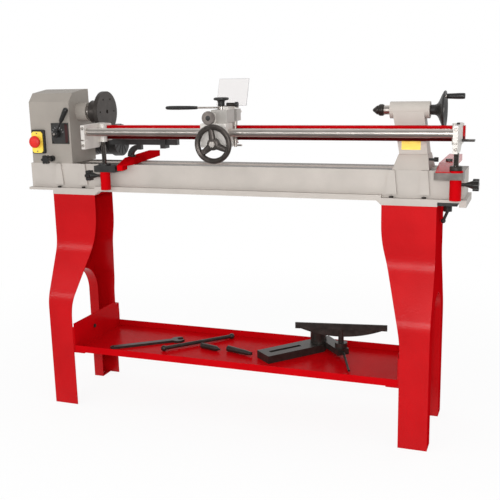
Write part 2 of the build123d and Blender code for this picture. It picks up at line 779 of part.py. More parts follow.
def bed():
    """Bed casting with two ways, a slot between them and feet for the stand."""
    foot_y = BED_FOOT_Y
    shape = block(-PAD_X0, PAD_X0, -foot_y, foot_y, BED_BOTTOM, BED_BOTTOM + BED_FOOT)
    shape += block(BED_FOOT_X0, BED_FOOT_X1, -foot_y, foot_y, BED_BOTTOM, BED_FOOT_TOP)
    shape += block(END_PAD_X, BED_FOOT_X1, -foot_y, foot_y, FRAME_TOP, BED_BOTTOM)
    shape += block(BED_X0, BED_X1, -BED_Y, BED_Y, BED_BOTTOM, BED_TOP)
    pad = outline([(PAD_X0 - PAD_SLOPE, BED_BOTTOM), (PAD_X0, FRAME_TOP), (PAD_X1, FRAME_TOP),
                   (PAD_X1, BED_BOTTOM)])
    boss = outline([(-BOSS_FOOT, BOSS_Z), (BOSS_FOOT, BOSS_Z), (BOSS_HEAD, BED_TOP), (-BOSS_HEAD, BED_TOP)])
    for side in (-1, 1):
        foot = along_y(pad, -foot_y, foot_y)
        shape += foot if side > 0 else mirror(foot, Plane.YZ)
    reach = BED_Y + BOSS_DEPTH
    for x in (*BOLT_XS_LEFT, *BOLT_XS_RIGHT):
        shape += Pos(x, 0, 0) * along_y(boss, -reach, reach)
    inner_y = BED_Y - BED_WALL
    room = (BED_X0 + BED_WALL, BED_X1 - BED_WALL, -inner_y, inner_y)
    shape -= block(*room, FRAME_TOP - CUT, BED_CEILING)
    shape -= block(SLOT_START, SLOT_END, -SLOT_HALF, SLOT_HALF, BED_CEILING - CUT, BED_TOP + CUT)
    for x in RIB_XS:
        shape += block(x - RIB_HALF, x + RIB_HALF, -inner_y, inner_y, BED_BOTTOM, RIB_TOP)
    hole_r = BOLT_R + BOLT_PLAY
    for y in (-1, 1):
        for x in HEAD_BOLT_XS:
            shape -= rod_z(BED_CEILING - CUT, BED_TOP + CUT, x, y * HEAD_BOLT_Y, hole_r)
        for x in (*BOLT_XS_LEFT, *BOLT_XS_RIGHT):
            shape -= rod_z(FRAME_TOP - CUT, BED_FOOT_TOP + CUT, x, y * BOLT_Y, hole_r)
    return shape


def headstock():
    """Hollow headstock casting with bearing seats and the motor plate."""
    left = outline(HEAD_LEFT)
    right = outline(HEAD_RIGHT)
    shape = along_x(left, HEAD_X0, HEAD_SPLIT) + along_x(right, HEAD_SPLIT, HEAD_X1)
    room_left = offset(left, -HEAD_WALL, kind=Kind.INTERSECTION)
    room_right = offset(right, -HEAD_WALL, kind=Kind.INTERSECTION)
    shape -= along_x(room_left, HEAD_X0 + HEAD_WALL, HEAD_SPLIT - HEAD_WALL)
    shape -= along_x(room_right, HEAD_X0 + HEAD_WALL, HEAD_X1 - HEAD_END_WALL)
    shape -= block(WINDOW_X0, WINDOW_X1, HEAD_BACK - HEAD_WALL - CUT, HEAD_BACK + CUT, WINDOW_Z0, WINDOW_Z1)
    shape += rod_x(HEAD_X1 - HEAD_WALL, NOSE_BOSS_X, 0, AXIS_Z, NOSE_BOSS_R)
    shape += rod_x(HEAD_X0 + HEAD_WALL, INNER_BOSS_X, 0, AXIS_Z, NOSE_BOSS_R)
    shape += block(HEAD_SPLIT, MOTOR_X0, MOTOR_PLATE_Y0, MOTOR_PLATE_Y1, MOTOR_PLATE_Z0, MOTOR_PLATE_Z1)
    shape -= rod_x(HEAD_SPLIT - CUT, MOTOR_X0 + CUT, MOTOR_Y, MOTOR_Z, MOTOR_PORT_R)
    shape -= rod_x(HEAD_X0 - CUT, INNER_BOSS_X + CUT, 0, AXIS_Z, SHAFT_ROOM)
    shape -= rod_x(HEAD_X1 - HEAD_END_WALL - CUT, NOSE_BOSS_X + CUT, 0, AXIS_Z, SHAFT_ROOM)
    shape -= rod_x(HEAD_X0 - CUT, BEARING_X0S[0] + BEARING_LENGTH, 0, AXIS_Z, BEARING_R)
    shape -= rod_x(BEARING_X0S[1], NOSE_BOSS_X + CUT, 0, AXIS_Z, BEARING_R)
    inner_y = HEAD_FRONT + HEAD_WALL + CUT
    shape -= rod_y(HEAD_FRONT - CUT, inner_y, SPEED_X, SPEED_Z, SPEED_SHAFT_R + RUN_FIT)
    shape -= rod_y(HEAD_FRONT - CUT, inner_y, KNOB_X, KNOB_Z, KNOB_STEM_R + RUN_FIT)
    shape -= switch_body(SIDE_GAP, HEAD_FRONT - CUT, inner_y)
    for x in HEAD_BOLT_XS:
        for side in (-1, 1):
            base = (BED_TOP - CUT, BED_TOP + HEAD_WALL + CUT, x, side * HEAD_BOLT_Y)
            shape -= rod_z(*base, BOLT_R + BOLT_PLAY)
    return shape


def bearings():
    """Two spindle bearings."""
    group = []
    for x in BEARING_X0S:
        ring = rod_x(x, x + BEARING_LENGTH, 0, AXIS_Z, BEARING_R)
        group.append(ring - rod_x(x - CUT, x + BEARING_LENGTH + CUT, 0, AXIS_Z, SPINDLE_R))
    return Compound(children=group)


def spindle():
    """Hollow spindle with a collar and a threaded nose."""
    shaft_r = SPINDLE_R - RUN_FIT
    return turned_x([(SPINDLE_X0, SPINDLE_BORE), (SPINDLE_X0, shaft_r), (COLLAR_X0, shaft_r),
                     (COLLAR_X0, COLLAR_R), (COLLAR_X1, COLLAR_R), (COLLAR_X1, NOSE_R),
                     (NOSE_X, NOSE_R), (NOSE_X, SPINDLE_BORE)], 0, AXIS_Z)


def faceplate():
    """Faceplate screwed on the spindle nose."""
    bore = NOSE_R + RUN_FIT
    seat = NOSE_X + CUT
    shape = turned_x([(COLLAR_X1, bore), (COLLAR_X1, PLATE_HUB_R), (PLATE_HUB_MID_X, PLATE_HUB_MID),
                      (PLATE_BACK, PLATE_HUB_END), (PLATE_BACK, PLATE_R), (PLATE_FACE, PLATE_R),
                      (PLATE_FACE, PLATE_EYE_R), (seat, PLATE_EYE_R), (seat, bore)], 0, AXIS_Z)
    for hole in range(PLATE_HOLES):
        angle = math.radians(hole * FULL_TURN / PLATE_HOLES)
        y = PLATE_HOLE_CIRCLE * math.cos(angle)
        z = AXIS_Z + PLATE_HOLE_CIRCLE * math.sin(angle)
        shape -= rod_x(PLATE_BACK - CUT, PLATE_FACE + CUT, y, z, PLATE_HOLE_R)
    return shape


def pulley(bore, belt_r, y, z):
    """Grooved pulley for the flat belt."""
    foot = belt_r - BELT_GAP
    rim = belt_r + BELT_THICK + RIM_OVER
    return turned_x([(BELT_X - PULLEY_HALF, bore), (BELT_X - PULLEY_HALF, rim), (BELT_X - GROOVE_TOP, rim),
                     (BELT_X - GROOVE_FOOT, foot), (BELT_X + GROOVE_FOOT, foot), (BELT_X + GROOVE_TOP, rim),
                     (BELT_X + PULLEY_HALF, rim), (BELT_X + PULLEY_HALF, bore)], y, z)


def motor_pulley():
    """Motor shaft with its pulley."""
    shaft_r = MOTOR_SHAFT_R - RUN_FIT
    shaft = rod_x(MOTOR_SHAFT_X0, MOTOR_SHAFT_X1, MOTOR_Y, MOTOR_Z, shaft_r)
    return shaft + pulley(shaft_r, DRIVER_R, MOTOR_Y, MOTOR_Z)


def belt_loop(thick):
    """Face inside the belt line, thick outside the pulley running surface."""
    rings = Pos(0, AXIS_Z) * Circle(DRIVEN_R + thick) + Pos(MOTOR_Y, MOTOR_Z) * Circle(DRIVER_R + thick)
    return make_hull(rings.edges())


def belt():
    """Drive belt round both pulleys."""
    return along_x(belt_loop(BELT_THICK) - belt_loop(0), BELT_X - BELT_HALF, BELT_X + BELT_HALF)


def belt_cover():
    """Sheet cover over the belt behind the headstock."""
    face = outline(COVER)
    room = offset(face, -COVER_SHEET, kind=Kind.INTERSECTION)
    room_x0 = COVER_X0 + COVER_SHEET
    room_x1 = HEAD_SPLIT - COVER_SHEET
    shape = along_x(face, COVER_X0, HEAD_SPLIT) - along_x(room, room_x0, room_x1)
    bottom = min(z for y, z in COVER) + COVER_SHEET
    top = max(z for y, z in COVER) - COVER_SHEET
    shape -= block(room_x0, room_x1, HEAD_BACK - CUT, HEAD_BACK + COVER_SHEET + CUT, bottom, top)
    return shape - rod_x(room_x1 - CUT, HEAD_SPLIT + CUT, MOTOR_Y, MOTOR_Z, MOTOR_PORT_R)


def motor():
    """Motor body with cooling ribs, terminal box and cable gland."""
    shape = turned_x([(MOTOR_X0, MOTOR_SHAFT_R), (MOTOR_X0, MOTOR_R), (MOTOR_X1, MOTOR_R),
                      (MOTOR_X1, MOTOR_CAP_R), (MOTOR_END, MOTOR_CAP_END), (MOTOR_END, 0),
                      (MOTOR_BORE_X, 0), (MOTOR_BORE_X, MOTOR_SHAFT_R)], MOTOR_Y, MOTOR_Z)
    for fin in range(FIN_COUNT):
        x = MOTOR_X0 + (fin + 1) * FIN_PITCH
        ring = rod_x(x, x + FIN_WIDTH, MOTOR_Y, MOTOR_Z, MOTOR_R + CUT)
        shape -= ring - rod_x(x - CUT, x + FIN_WIDTH + CUT, MOTOR_Y, MOTOR_Z, MOTOR_R - FIN_DEPTH)
    shape += block(*TERMINAL)
    return shape + rod_z(GLAND_Z0, TERMINAL[4], GLAND_X, GLAND_Y, GLAND_R)


def speed_plate():
    """Plate behind the speed lever."""
    face, back = SPEED_PLATE[2:4]
    return block(*SPEED_PLATE) - rod_y(face - CUT, back + CUT, SPEED_X, SPEED_Z, SPEED_SHAFT_R + CUT)


def speed_lever():
    """Speed lever with its shaft and the fork arm inside the headstock."""
    shape = rod_y(SPEED_HUB_Y0, SPEED_HUB_Y1, SPEED_X, SPEED_Z, SPEED_HUB_R)
    shape += rod_y(SPEED_HUB_Y1, SPEED_SHAFT_END, SPEED_X, SPEED_Z, SPEED_SHAFT_R)
    arm = turned_z([(0, 0), (0, SPEED_ARM_R), (SPEED_ARM, SPEED_ARM_R), (SPEED_ARM, SPEED_GRIP_FOOT),
                    (SPEED_GRIP - SPEED_GRIP_FOOT, SPEED_GRIP_HEAD), (SPEED_GRIP, SPEED_GRIP_FOOT),
                    (SPEED_GRIP, 0)], 0, 0)
    shape += Pos(SPEED_X, SPEED_ARM_Y, SPEED_Z) * Rot(0, SPEED_LEAN, 0) * arm
    fork_x = (SPEED_X - FORK_HALF, SPEED_X + FORK_HALF)
    return shape + block(*fork_x, FORK_Y0, SPEED_SHAFT_END, FORK_Z0, SPEED_Z)


def switch_body(grow, y0, y1):
    """Square body of the switch, grown on its four sides."""
    half = SWITCH_BODY_HALF + grow
    return block(STOP_X - half, STOP_X + half, y0, y1, STOP_Z - half, STOP_Z + half)


def switch_box():
    """Switch box with its hollow body inside the headstock."""
    y0 = SWITCH[2]
    wall = SWITCH_WALL
    shape = block(*SWITCH) + switch_body(0, HEAD_FRONT, SWITCH_BODY_BACK)
    shape -= switch_body(-wall, y0 + wall, SWITCH_BODY_BACK - wall)
    return shape - rod_y(y0 - CUT, y0 + wall + CUT, STOP_X, STOP_Z, STOP_STEM_R)


def switch_plate():
    """Coloured plate on the front of the switch box."""
    x0, x1 = SWITCH_PLATE_X
    z0, z1 = SWITCH_PLATE_Z
    corner = SWITCH_CORNER
    face = outline([(x0 + corner, z0), (x1 - corner, z0), (x1, z0 + corner), (x1, z1 - corner),
                    (x1 - corner, z1), (x0 + corner, z1), (x0, z1 - corner), (x0, z0 + corner)])
    plate = along_y(face, SWITCH_FACE, SWITCH[2])
    return plate - rod_y(SWITCH_FACE - CUT, SWITCH[2] + CUT, STOP_X, STOP_Z, STOP_STEM_R + SIDE_GAP)


def stop_button():
    """Mushroom stop button, kept in the box by a collar on its stem."""
    stem_r = STOP_STEM_R - RUN_FIT
    keeper_y = SWITCH[2] + SWITCH_WALL + SIDE_GAP
    return turned_y([(STOP_FRONT, 0), (STOP_FRONT, STOP_R - STOP_ROUND), (STOP_FRONT + STOP_ROUND, STOP_R),
                     (STOP_BACK, STOP_R), (STOP_BACK, stem_r), (keeper_y, stem_r),
                     (keeper_y, STOP_KEEPER_R), (keeper_y + STOP_KEEPER, STOP_KEEPER_R),
                     (keeper_y + STOP_KEEPER, stem_r), (STOP_END, stem_r), (STOP_END, 0)], STOP_X, STOP_Z)


def headstock_knob():
    """Clamp knob at the foot of the headstock."""
    collar_end = HEAD_FRONT - SIDE_GAP
    shape = turned_y([(KNOB_BACK, 0), (KNOB_BACK, KNOB_STEM_R), (KNOB_COLLAR_Y, KNOB_STEM_R),
                      (KNOB_COLLAR_Y, KNOB_COLLAR_R), (collar_end, KNOB_COLLAR_R),
                      (collar_end, KNOB_STEM_R), (KNOB_END, KNOB_STEM_R), (KNOB_END, 0)], KNOB_X, KNOB_Z)
    head = along_y(Pos(KNOB_X, KNOB_Z) * star(KNOB_R, STAR_LOBES), KNOB_FRONT, KNOB_BACK)
    return shape + head


def tailstock():
    """Tailstock casting with its barrel and bed guide."""
    base_foot = ((TAIL_X0 + TAIL_X1) / 2, TAIL_X1 - TAIL_X0, 2 * TAIL_Y)
    shape = tapered(base_foot, BED_TOP + SLIDE_GAP, TAIL_BASE_HEAD, TAIL_BASE_TOP)
    shape += tapered(COLUMN_FOOT, TAIL_BASE_TOP, COLUMN_HEAD, AXIS_Z)
    shape += rod_x(BARREL_X0, BARREL_X1, 0, AXIS_Z, BARREL_R)
    guide_y = SLOT_HALF - SIDE_GAP
    shape += block(GUIDE_X0, GUIDE_X1, -guide_y, guide_y, GUIDE_Z0, TAIL_BASE_TOP)
    shape -= rod_x(BARREL_X0 - CUT, BARREL_WALL_X, 0, AXIS_Z, QUILL_R + RUN_FIT)
    shape -= rod_x(BARREL_WALL_X - CUT, BARREL_X1 + CUT, 0, AXIS_Z, SCREW_R + RUN_FIT)
    bolt_x = (TAIL_CLAMP_X0 + TAIL_CLAMP_X1) / 2
    shape -= rod_z(GUIDE_Z0 - CUT, TAIL_BOLT_Z1 + CUT, bolt_x, 0, TAIL_BOLT_R + BOLT_PLAY)
    knob_hole = (TAIL_KNOB_END - CUT, TAIL_X1 + CUT, TAIL_KNOB_Y, TAIL_KNOB_Z)
    return shape - rod_x(*knob_hole, TAIL_KNOB_STEM_R + RUN_FIT)


def tailstock_clamp():
    """Clamp plate under the ways with its bolt and nut."""
    top = BED_CEILING - SLIDE_GAP
    bolt_x = (TAIL_CLAMP_X0 + TAIL_CLAMP_X1) / 2
    shape = block(TAIL_CLAMP_X0, TAIL_CLAMP_X1, -TAIL_CLAMP_Y, TAIL_CLAMP_Y, TAIL_CLAMP_Z0, top)
    shape += rod_z(TAIL_BOLT_Z0, TAIL_BOLT_Z1, bolt_x, 0, TAIL_BOLT_R)
    nut = Pos(bolt_x, 0) * hexagon(2 * TAIL_NUT_R)
    return shape + along_z(nut, TAIL_BOLT_Z0, TAIL_CLAMP_Z0)


def tailstock_knob():
    """Clamp knob on the right of the tailstock base."""
    head = Plane.YZ.offset(TAIL_KNOB_X0) * Pos(TAIL_KNOB_Y, TAIL_KNOB_Z) * star(TAIL_KNOB_R, STAR_LOBES)
    shape = extrude(head, TAIL_KNOB_X1 - TAIL_KNOB_X0, dir=(1, 0, 0))
    return shape + rod_x(TAIL_KNOB_END, TAIL_KNOB_X0, TAIL_KNOB_Y, TAIL_KNOB_Z, TAIL_KNOB_STEM_R)


def quill():
    """Quill with a socket for the centre and a bore for the screw."""
    shape = rod_x(QUILL_X0, QUILL_X1, 0, AXIS_Z, QUILL_R)
    shape -= rod_x(QUILL_X0 - CUT, QUILL_NOSE, 0, AXIS_Z, CENTRE_SHANK_R + RUN_FIT)
    return shape - rod_x(QUILL_NOSE - CUT, QUILL_X1 + CUT, 0, AXIS_Z, SCREW_R + SCREW_ROOM)


def centre_body():
    """Body of the live centre."""
    shape = turned_x([(CENTRE_X0, 0), (CENTRE_X0, CENTRE_FACE_R), (CENTRE_X0 + CENTRE_ROUND, CENTRE_R),
                      (QUILL_X0 - CENTRE_ROUND, CENTRE_R), (QUILL_X0, CENTRE_FACE_R),
                      (QUILL_X0, CENTRE_SHANK_R),
                      (CENTRE_SHANK_X, CENTRE_SHANK_R), (CENTRE_SHANK_X, 0)], 0, AXIS_Z)
    return shape - rod_x(CENTRE_X0 - CUT, POINT_STEM_X + SIDE_GAP, 0, AXIS_Z, POINT_STEM_R)


def centre_point():
    """Turning point of the live centre."""
    back = CENTRE_X0 - SIDE_GAP
    stem_r = POINT_STEM_R - RUN_FIT
    return turned_x([(POINT_TIP_X, 0), (POINT_TIP_X, POINT_TIP_R), (POINT_SHOULDER, POINT_R),
                     (back, POINT_R),
                     (back, stem_r), (POINT_STEM_X, stem_r), (POINT_STEM_X, 0)], 0, AXIS_Z)


def tailstock_wheel():
    """Dished handwheel with the fixed pin of its crank."""
    bore = SCREW_R
    shape = turned_x([(WHEEL_HUB_X, bore), (WHEEL_HUB_X, WHEEL_HUB_R), *WHEEL_FLARE,
                      (WHEEL_RIM_X1, WHEEL_RIM_IN), (WHEEL_WEB_X, WHEEL_RIM_IN - CUT),
                      (WHEEL_BOWL_X, WHEEL_BOWL_R), (WHEEL_BOSS_X, WHEEL_BOSS_R),
                      (WHEEL_BOSS_X, bore)], 0, AXIS_Z)
    return shape + rod_x(CRANK_PIN_X0, CRANK_PIN_X1, 0, AXIS_Z + CRANK_R, CRANK_PIN_R)


def crank_grip():
    """Turning grip on the crank pin."""
    bore = CRANK_PIN_R + RUN_FIT
    return turned_x([(GRIP_X0, bore), (GRIP_X0, GRIP_ENDS), (GRIP_MID_X, GRIP_MIDDLE), (GRIP_X1, GRIP_ENDS),
                     (GRIP_X1, bore)], 0, AXIS_Z + CRANK_R)


def sockets():
    """Post sockets below the mounting blocks and rings above them."""
    group = []
    bore_r = POST_R + RUN_FIT
    for x, head in zip(POST_XS, STAR_HEADS):
        socket = rod_z(SOCKET_Z0, MOUNT_Z0, x, POST_Y, SOCKET_R)
        socket -= rod_z(SOCKET_Z0 - CUT, MOUNT_Z0 + CUT, x, POST_Y, bore_r)
        socket -= rod_x(x, head[1], POST_Y, STAR_Z, STAR_STEM_R + RUN_FIT)
        ring = rod_z(BED_TOP, RING_TOP, x, POST_Y, RING_R)
        ring -= rod_z(BED_TOP - CUT, RING_TOP + CUT, x, POST_Y, bore_r)
        arm_side = ARM_RIGHT_X + ARM_HALF + SIDE_GAP
        if x > 0:
            ring -= block(x - RING_R - CUT, arm_side, POST_Y - RING_R, POST_Y + RING_R, BED_TOP - CUT,
                          RING_TOP + CUT)
        group += [socket, ring]
    return Compound(children=group)


def mount_blocks():
    """Blocks on the front of the bed that carry the posts."""
    group = []
    for (x0, x1), post_x in zip(MOUNT_XS, POST_XS):
        shape = block(x0, x1, MOUNT_FRONT, -BED_Y, MOUNT_Z0, BED_TOP)
        group.append(shape - rod_z(MOUNT_Z0 - CUT, BED_TOP + CUT, post_x, POST_Y, POST_R + RUN_FIT))
    return Compound(children=group)


def star_knob(post_x, outer, inner):
    """Star knob that clamps a post in its socket."""
    side = 1 if inner > post_x else -1
    tip = post_x + side * (POST_R + SIDE_GAP)
    face = Plane.YZ.offset(min(outer, inner)) * Pos(POST_Y, STAR_Z) * star(STAR_R, STAR_LOBES)
    head = extrude(face, abs(outer - inner), dir=(1, 0, 0))
    end = inner - side * STAR_NECK
    neck = turned_x([(inner, 0), (inner, STAR_NECK_R), (end, STAR_STEM_R), (end, 0)], POST_Y, STAR_Z)
    return head + neck + rod_x(inner, tip, POST_Y, STAR_Z, STAR_STEM_R)


def posts():
    """Round posts of the copying frame."""
    return Compound(children=[rod_z(POST_Z0, POST_Z1, x, POST_Y, POST_R) for x in POST_XS])


def end_brackets():
    """Cast end brackets that join the posts, the bar and the beam."""
    group = []
    face = outline(BRACKET)
    for (x0, x1), post_x in zip(BRACKET_XS, POST_XS):
        shape = along_x(face, x0, x1)
        shape += rod_z(BRACKET_BOSS_Z0, BRACKET_BOSS_Z1, post_x, POST_Y, BRACKET_BOSS_R)
        shape -= rod_z(min(z for y, z in BRACKET) - CUT, POST_Z1, post_x, POST_Y, POST_R)
        shape -= rod_x(x0 - CUT, x1 + CUT, BAR_Y, BAR_Z, BAR_R)
        shape -= block(x0 - CUT, x1 + CUT, BEAM_Y0, BEAM_Y1, BEAM_Z0, BEAM_Z1)
        y0, y1, z0, z1 = BRACKET_NOTCH
        shape -= block(x0 - CUT, x1 + CUT, y0 - CUT, y1, z0, z1)
        bore_end = x1 + LOCK_STEM if post_x > 0 else x0 - LOCK_STEM
        shape -= rod_x(post_x, bore_end, POST_Y, LOCK_Z, LOCK_STEM_R + RUN_FIT)
        group.append(shape)
    return Compound(children=group)


def post_lock(post_x, outer):
    """Wing screw that locks a post in its bracket."""
    side = 1 if outer > post_x else -1
    tip = post_x + side * (POST_R + SIDE_GAP)
    wing = outer + side * LOCK_STEM
    shape = rod_x(tip, wing, POST_Y, LOCK_Z, LOCK_STEM_R)
    low_y = POST_Y - LOCK_WING_HALF
    high_y = POST_Y + LOCK_WING_HALF
    z_half = LOCK_WING_THICK
    return shape + block(wing, wing + side * LOCK_WING, low_y, high_y, LOCK_Z - z_half, LOCK_Z + z_half)


def rack():
    """Toothed rack on the front of the beam, teeth down."""
    teeth = rack_points(RACK_X0, RACK_X1, DRIVE_X, RACK_MODULE)
    points = [(x, RACK_LINE_Z + depth) for x, depth in teeth]
    face = outline([(RACK_X0, RACK_TOP), (RACK_X0, points[0][1]), *points, (RACK_X1, points[-1][1]),
                    (RACK_X1, RACK_TOP)])
    return along_y(face, RACK_Y0, BEAM_Y0)


def cross_arm(x, turn, bolt):
    """Channel arm that lies across the bed, with a lug down the front of the bed when it is turned."""
    nose = BED_TOP + ARM_NOSE
    outside = outline([(ARM_FRONT, BED_TOP), (ARM_FRONT, nose), (ARM_SLOPE_END, ARM_TOP),
                       (ARM_BACK, ARM_TOP), (ARM_BACK, BED_TOP)])
    inner_top = ARM_TOP - ARM_WALL
    inside = outline([(ARM_LUG_BACK, BED_TOP - CUT), (ARM_SLOPE_END, inner_top),
                      (ARM_BACK - ARM_WALL, inner_top), (ARM_BACK - ARM_WALL, BED_TOP - CUT)])
    inner_half = ARM_HALF - ARM_WALL
    arm = along_x(outside, -ARM_HALF, ARM_HALF) - along_x(inside, -inner_half, inner_half)
    if turn:
        arm += block(-ARM_HALF, ARM_LUG_X1, ARM_FRONT, ARM_LUG_BACK, ARM_LUG_Z0, BED_TOP)
        side = ARM_HALF + CUT
        front = ARM_FRONT - CUT
        corner = outline([(ARM_LUG_X1, front), (side, front), (side, ARM_LUG_BACK)])
        arm -= along_z(corner, BED_TOP - CUT, ARM_TOP + CUT)
    placed = Pos(x, 0, 0) * Rot(0, 0, turn) * arm
    return placed - rod_z(BED_TOP - CUT, ARM_TOP + CUT, *bolt, ARM_BOLT_R + BOLT_PLAY)


def arm_bolts():
    """Bolts that hold the cross arms, the left one with its nut plate below the ways."""
    head = hexagon(ARM_BOLT_FLATS)
    group = []
    for (x, y), low in ((ARM_BOLT_LEFT, ARM_NUT_Z0), (ARM_BOLT_RIGHT, CLAMP_HUB_Z + CLAMP_CAP)):
        bolt = rod_z(low, ARM_TOP, x, y, ARM_BOLT_R)
        group.append(bolt + along_z(Pos(x, y) * head, ARM_TOP, ARM_TOP + ARM_BOLT_HEAD))
    x = ARM_BOLT_LEFT[0]
    plate = (x - ARM_NUT_HALF, x + ARM_NUT_HALF, -ARM_NUT_Y, ARM_NUT_Y, ARM_NUT_Z0, BED_CEILING)
    group[0] += block(*plate)
    return Compound(children=group)


def clamp_plate():
    """Plate below the bed that the ball lever pulls up."""
    z0, z1 = CLAMP_PLATE[4:]
    return block(*CLAMP_PLATE) - rod_z(z0 - CUT, z1 + CUT, *ARM_BOLT_RIGHT, ARM_BOLT_R + BOLT_PLAY)


def clamp_lever():
    """Ball lever of the right hand arm."""
    x, y = ARM_BOLT_RIGHT
    top = CLAMP_PLATE[4] - SLIDE_GAP
    shape = rod_z(CLAMP_HUB_Z, top, x, y, CLAMP_HUB_R)
    reach = math.hypot(CLAMP_BALL_X - x, CLAMP_BALL_Z - CLAMP_HUB_Z)
    lean = math.degrees(math.atan2(CLAMP_BALL_X - x, CLAMP_BALL_Z - CLAMP_HUB_Z))
    stem = rod_z(-CLAMP_LEVER_R, reach, 0, 0, CLAMP_LEVER_R)
    shape += Pos(x, y, CLAMP_HUB_Z) * Rot(0, lean, 0) * stem
    shape -= rod_z(CLAMP_HUB_Z + CLAMP_CAP - SIDE_GAP, top + CUT, x, y, ARM_BOLT_R + RUN_FIT)
    return shape + Pos(CLAMP_BALL_X, y, CLAMP_BALL_Z) * Sphere(CLAMP_BALL_R)


def template_rail():
    """Template rail on its curved foot, with its end stop."""
    y0, y1 = RAIL_FOOT_Y
    ring = Circle(RAIL_FOOT_R1) - Circle(RAIL_FOOT_R0)
    quarter = Pos(-RAIL_FOOT_R1 / 2, RAIL_FOOT_R1 / 2) * Rectangle(RAIL_FOOT_R1, RAIL_FOOT_R1)
    shape = along_y(Pos(RAIL_FOOT_X, ARM_TOP) * (ring & quarter), y0, y1)
    shape += block(RAIL_FOOT_X, RAIL_FOOT_X + RAIL_PAD, y0, y1, ARM_TOP + RAIL_FOOT_R0, RAIL[4])
    return shape + block(*RAIL) + block(*RAIL_STOP)


def drive_z():
    """Height of the pinion axis below the rack."""
    return RACK_LINE_Z - PINION_TEETH * RACK_MODULE / 2 - MESH_ROOM


def saddle():
    """Carriage saddle that runs on the bar and the beam."""
    shoe_z = BEAM_Z1 + SLIDE_GAP
    shape = block(SADDLE_X0, SADDLE_X1, SADDLE_FRONT, SADDLE_BLOCK_BACK, SADDLE_BOTTOM, SADDLE_TOP)
    shape += block(SADDLE_X0, SHOE_X1, SADDLE_FRONT, SKIRT_BACK, shoe_z, SADDLE_TOP)
    skirt_y = BEAM_Y1 + SLIDE_GAP
    shape += block(SADDLE_X0, SHOE_X1, skirt_y, SKIRT_BACK, KEEPER_Z0, SADDLE_TOP)
    shape += block(KEEPER_X0, KEEPER_X1, BEAM_Y0 + CUT, SKIRT_BACK, KEEPER_Z0, BEAM_Z0 - SLIDE_GAP)
    shape += block(*HANGER, SADDLE_BOTTOM, SADDLE_TOP)
    shape += block(*DIAL_LUG)
    shape -= rod_x(SADDLE_X0 - CUT, SADDLE_X1 + CUT, BAR_Y, BAR_Z, BAR_R + RUN_FIT)
    shape -= rod_y(SADDLE_FRONT - CUT, HANGER[3] + CUT, DRIVE_X, drive_z(), DRIVE_SHAFT_R)
    shape -= rod_y(DIAL_LUG[2] - CUT, DIAL_LUG[3] + CUT, DIAL_X, DIAL_Z, DIAL_STEM_R + RUN_FIT)
    return shape - rod_z(KEEPER_Z0 - CUT, LATCH_STEM_Z, LATCH_X, LATCH_Y, LATCH_STEM_R + RUN_FIT)


def pinion_shaft():
    """Pinion shaft with its end nut, and the pinion on its back end."""
    z = drive_z()
    nut = Pos(DRIVE_X, z) * hexagon(2 * DRIVE_NUT_R)
    shaft = rod_y(DRIVE_NUT_Y, PINION_BACK, DRIVE_X, z, DRIVE_SHAFT_R - RUN_FIT)
    shaft += along_y(nut, DRIVE_NUT_Y, HANDWHEEL_HUB_Y0)
    teeth = Pos(DRIVE_X, z) * gear(PINION_TEETH, RACK_MODULE, QUARTER_TURN)
    pinion = along_y(teeth, RACK_Y0, PINION_BACK)
    pinion -= rod_y(RACK_Y0 - CUT, PINION_BACK + CUT, DRIVE_X, z, DRIVE_SHAFT_R)
    return Compound(children=[shaft, pinion])


def carriage_wheel():
    """Carriage handwheel with three spokes."""
    z = drive_z()
    rim = revolve(Pos(HANDWHEEL_Y, HANDWHEEL_R) * Circle(HANDWHEEL_TUBE), Axis.X)
    shape = Pos(DRIVE_X, 0, z) * Rot(0, 0, QUARTER_TURN) * rim
    shape += rod_y(HANDWHEEL_HUB_Y0, HANDWHEEL_HUB_Y1, DRIVE_X, z, HANDWHEEL_HUB_R)
    for angle in HANDWHEEL_SPOKES:
        spoke = rod_x(0, HANDWHEEL_R, 0, 0, HANDWHEEL_SPOKE_R)
        shape += Pos(DRIVE_X, HANDWHEEL_Y, z) * Rot(0, -angle, 0) * spoke
    boss = math.radians(HANDWHEEL_SPOKES[1])
    boss_x = DRIVE_X + HANDWHEEL_BOSS_AT * math.cos(boss)
    boss_z = z + HANDWHEEL_BOSS_AT * math.sin(boss)
    shape += rod_y(HANDWHEEL_BOSS_Y0, HANDWHEEL_Y, boss_x, boss_z, HANDWHEEL_BOSS_R)
    return shape - rod_y(HANDWHEEL_HUB_Y0 - CUT, HANDWHEEL_HUB_Y1 + CUT, DRIVE_X, z, DRIVE_SHAFT_R)


def stop_dial():
    """Disc knob of the depth stop."""
    return (rod_y(DIAL_Y0, DIAL_Y1, DIAL_X, DIAL_Z, DIAL_R)
            + rod_y(DIAL_Y1, DIAL_END, DIAL_X, DIAL_Z, DIAL_STEM_R))


def ram_line_x():
    """Pitch line of the ram rack beside the lever pinion."""
    return LEVER_X + LEVER_TEETH * LEVER_MODULE / 2 + LEVER_MESH


def ram_housing():
    """Housing that guides the ram and carries the lever spindle."""
    y0, y1, z0, z1 = HOUSING[2:]
    low_x = ram_line_x() - LEVER_MODULE - SIDE_GAP
    gap = SLIDE_GAP
    shape = block(*HOUSING)
    shape -= block(low_x, RAM_X1 + gap, y0 + HOUSING_WALL, y1 + CUT, RAM_Z0 - gap, RAM_Z1 + gap)
    shape -= rod_z(RAM_Z0 - gap, z1 + CUT, LEVER_X, LEVER_Y, LEVER_POCKET_R)
    return shape - rod_z(z0 + CUT, RAM_Z0, LEVER_X, LEVER_Y, LEVER_SPINDLE_R + RUN_FIT)


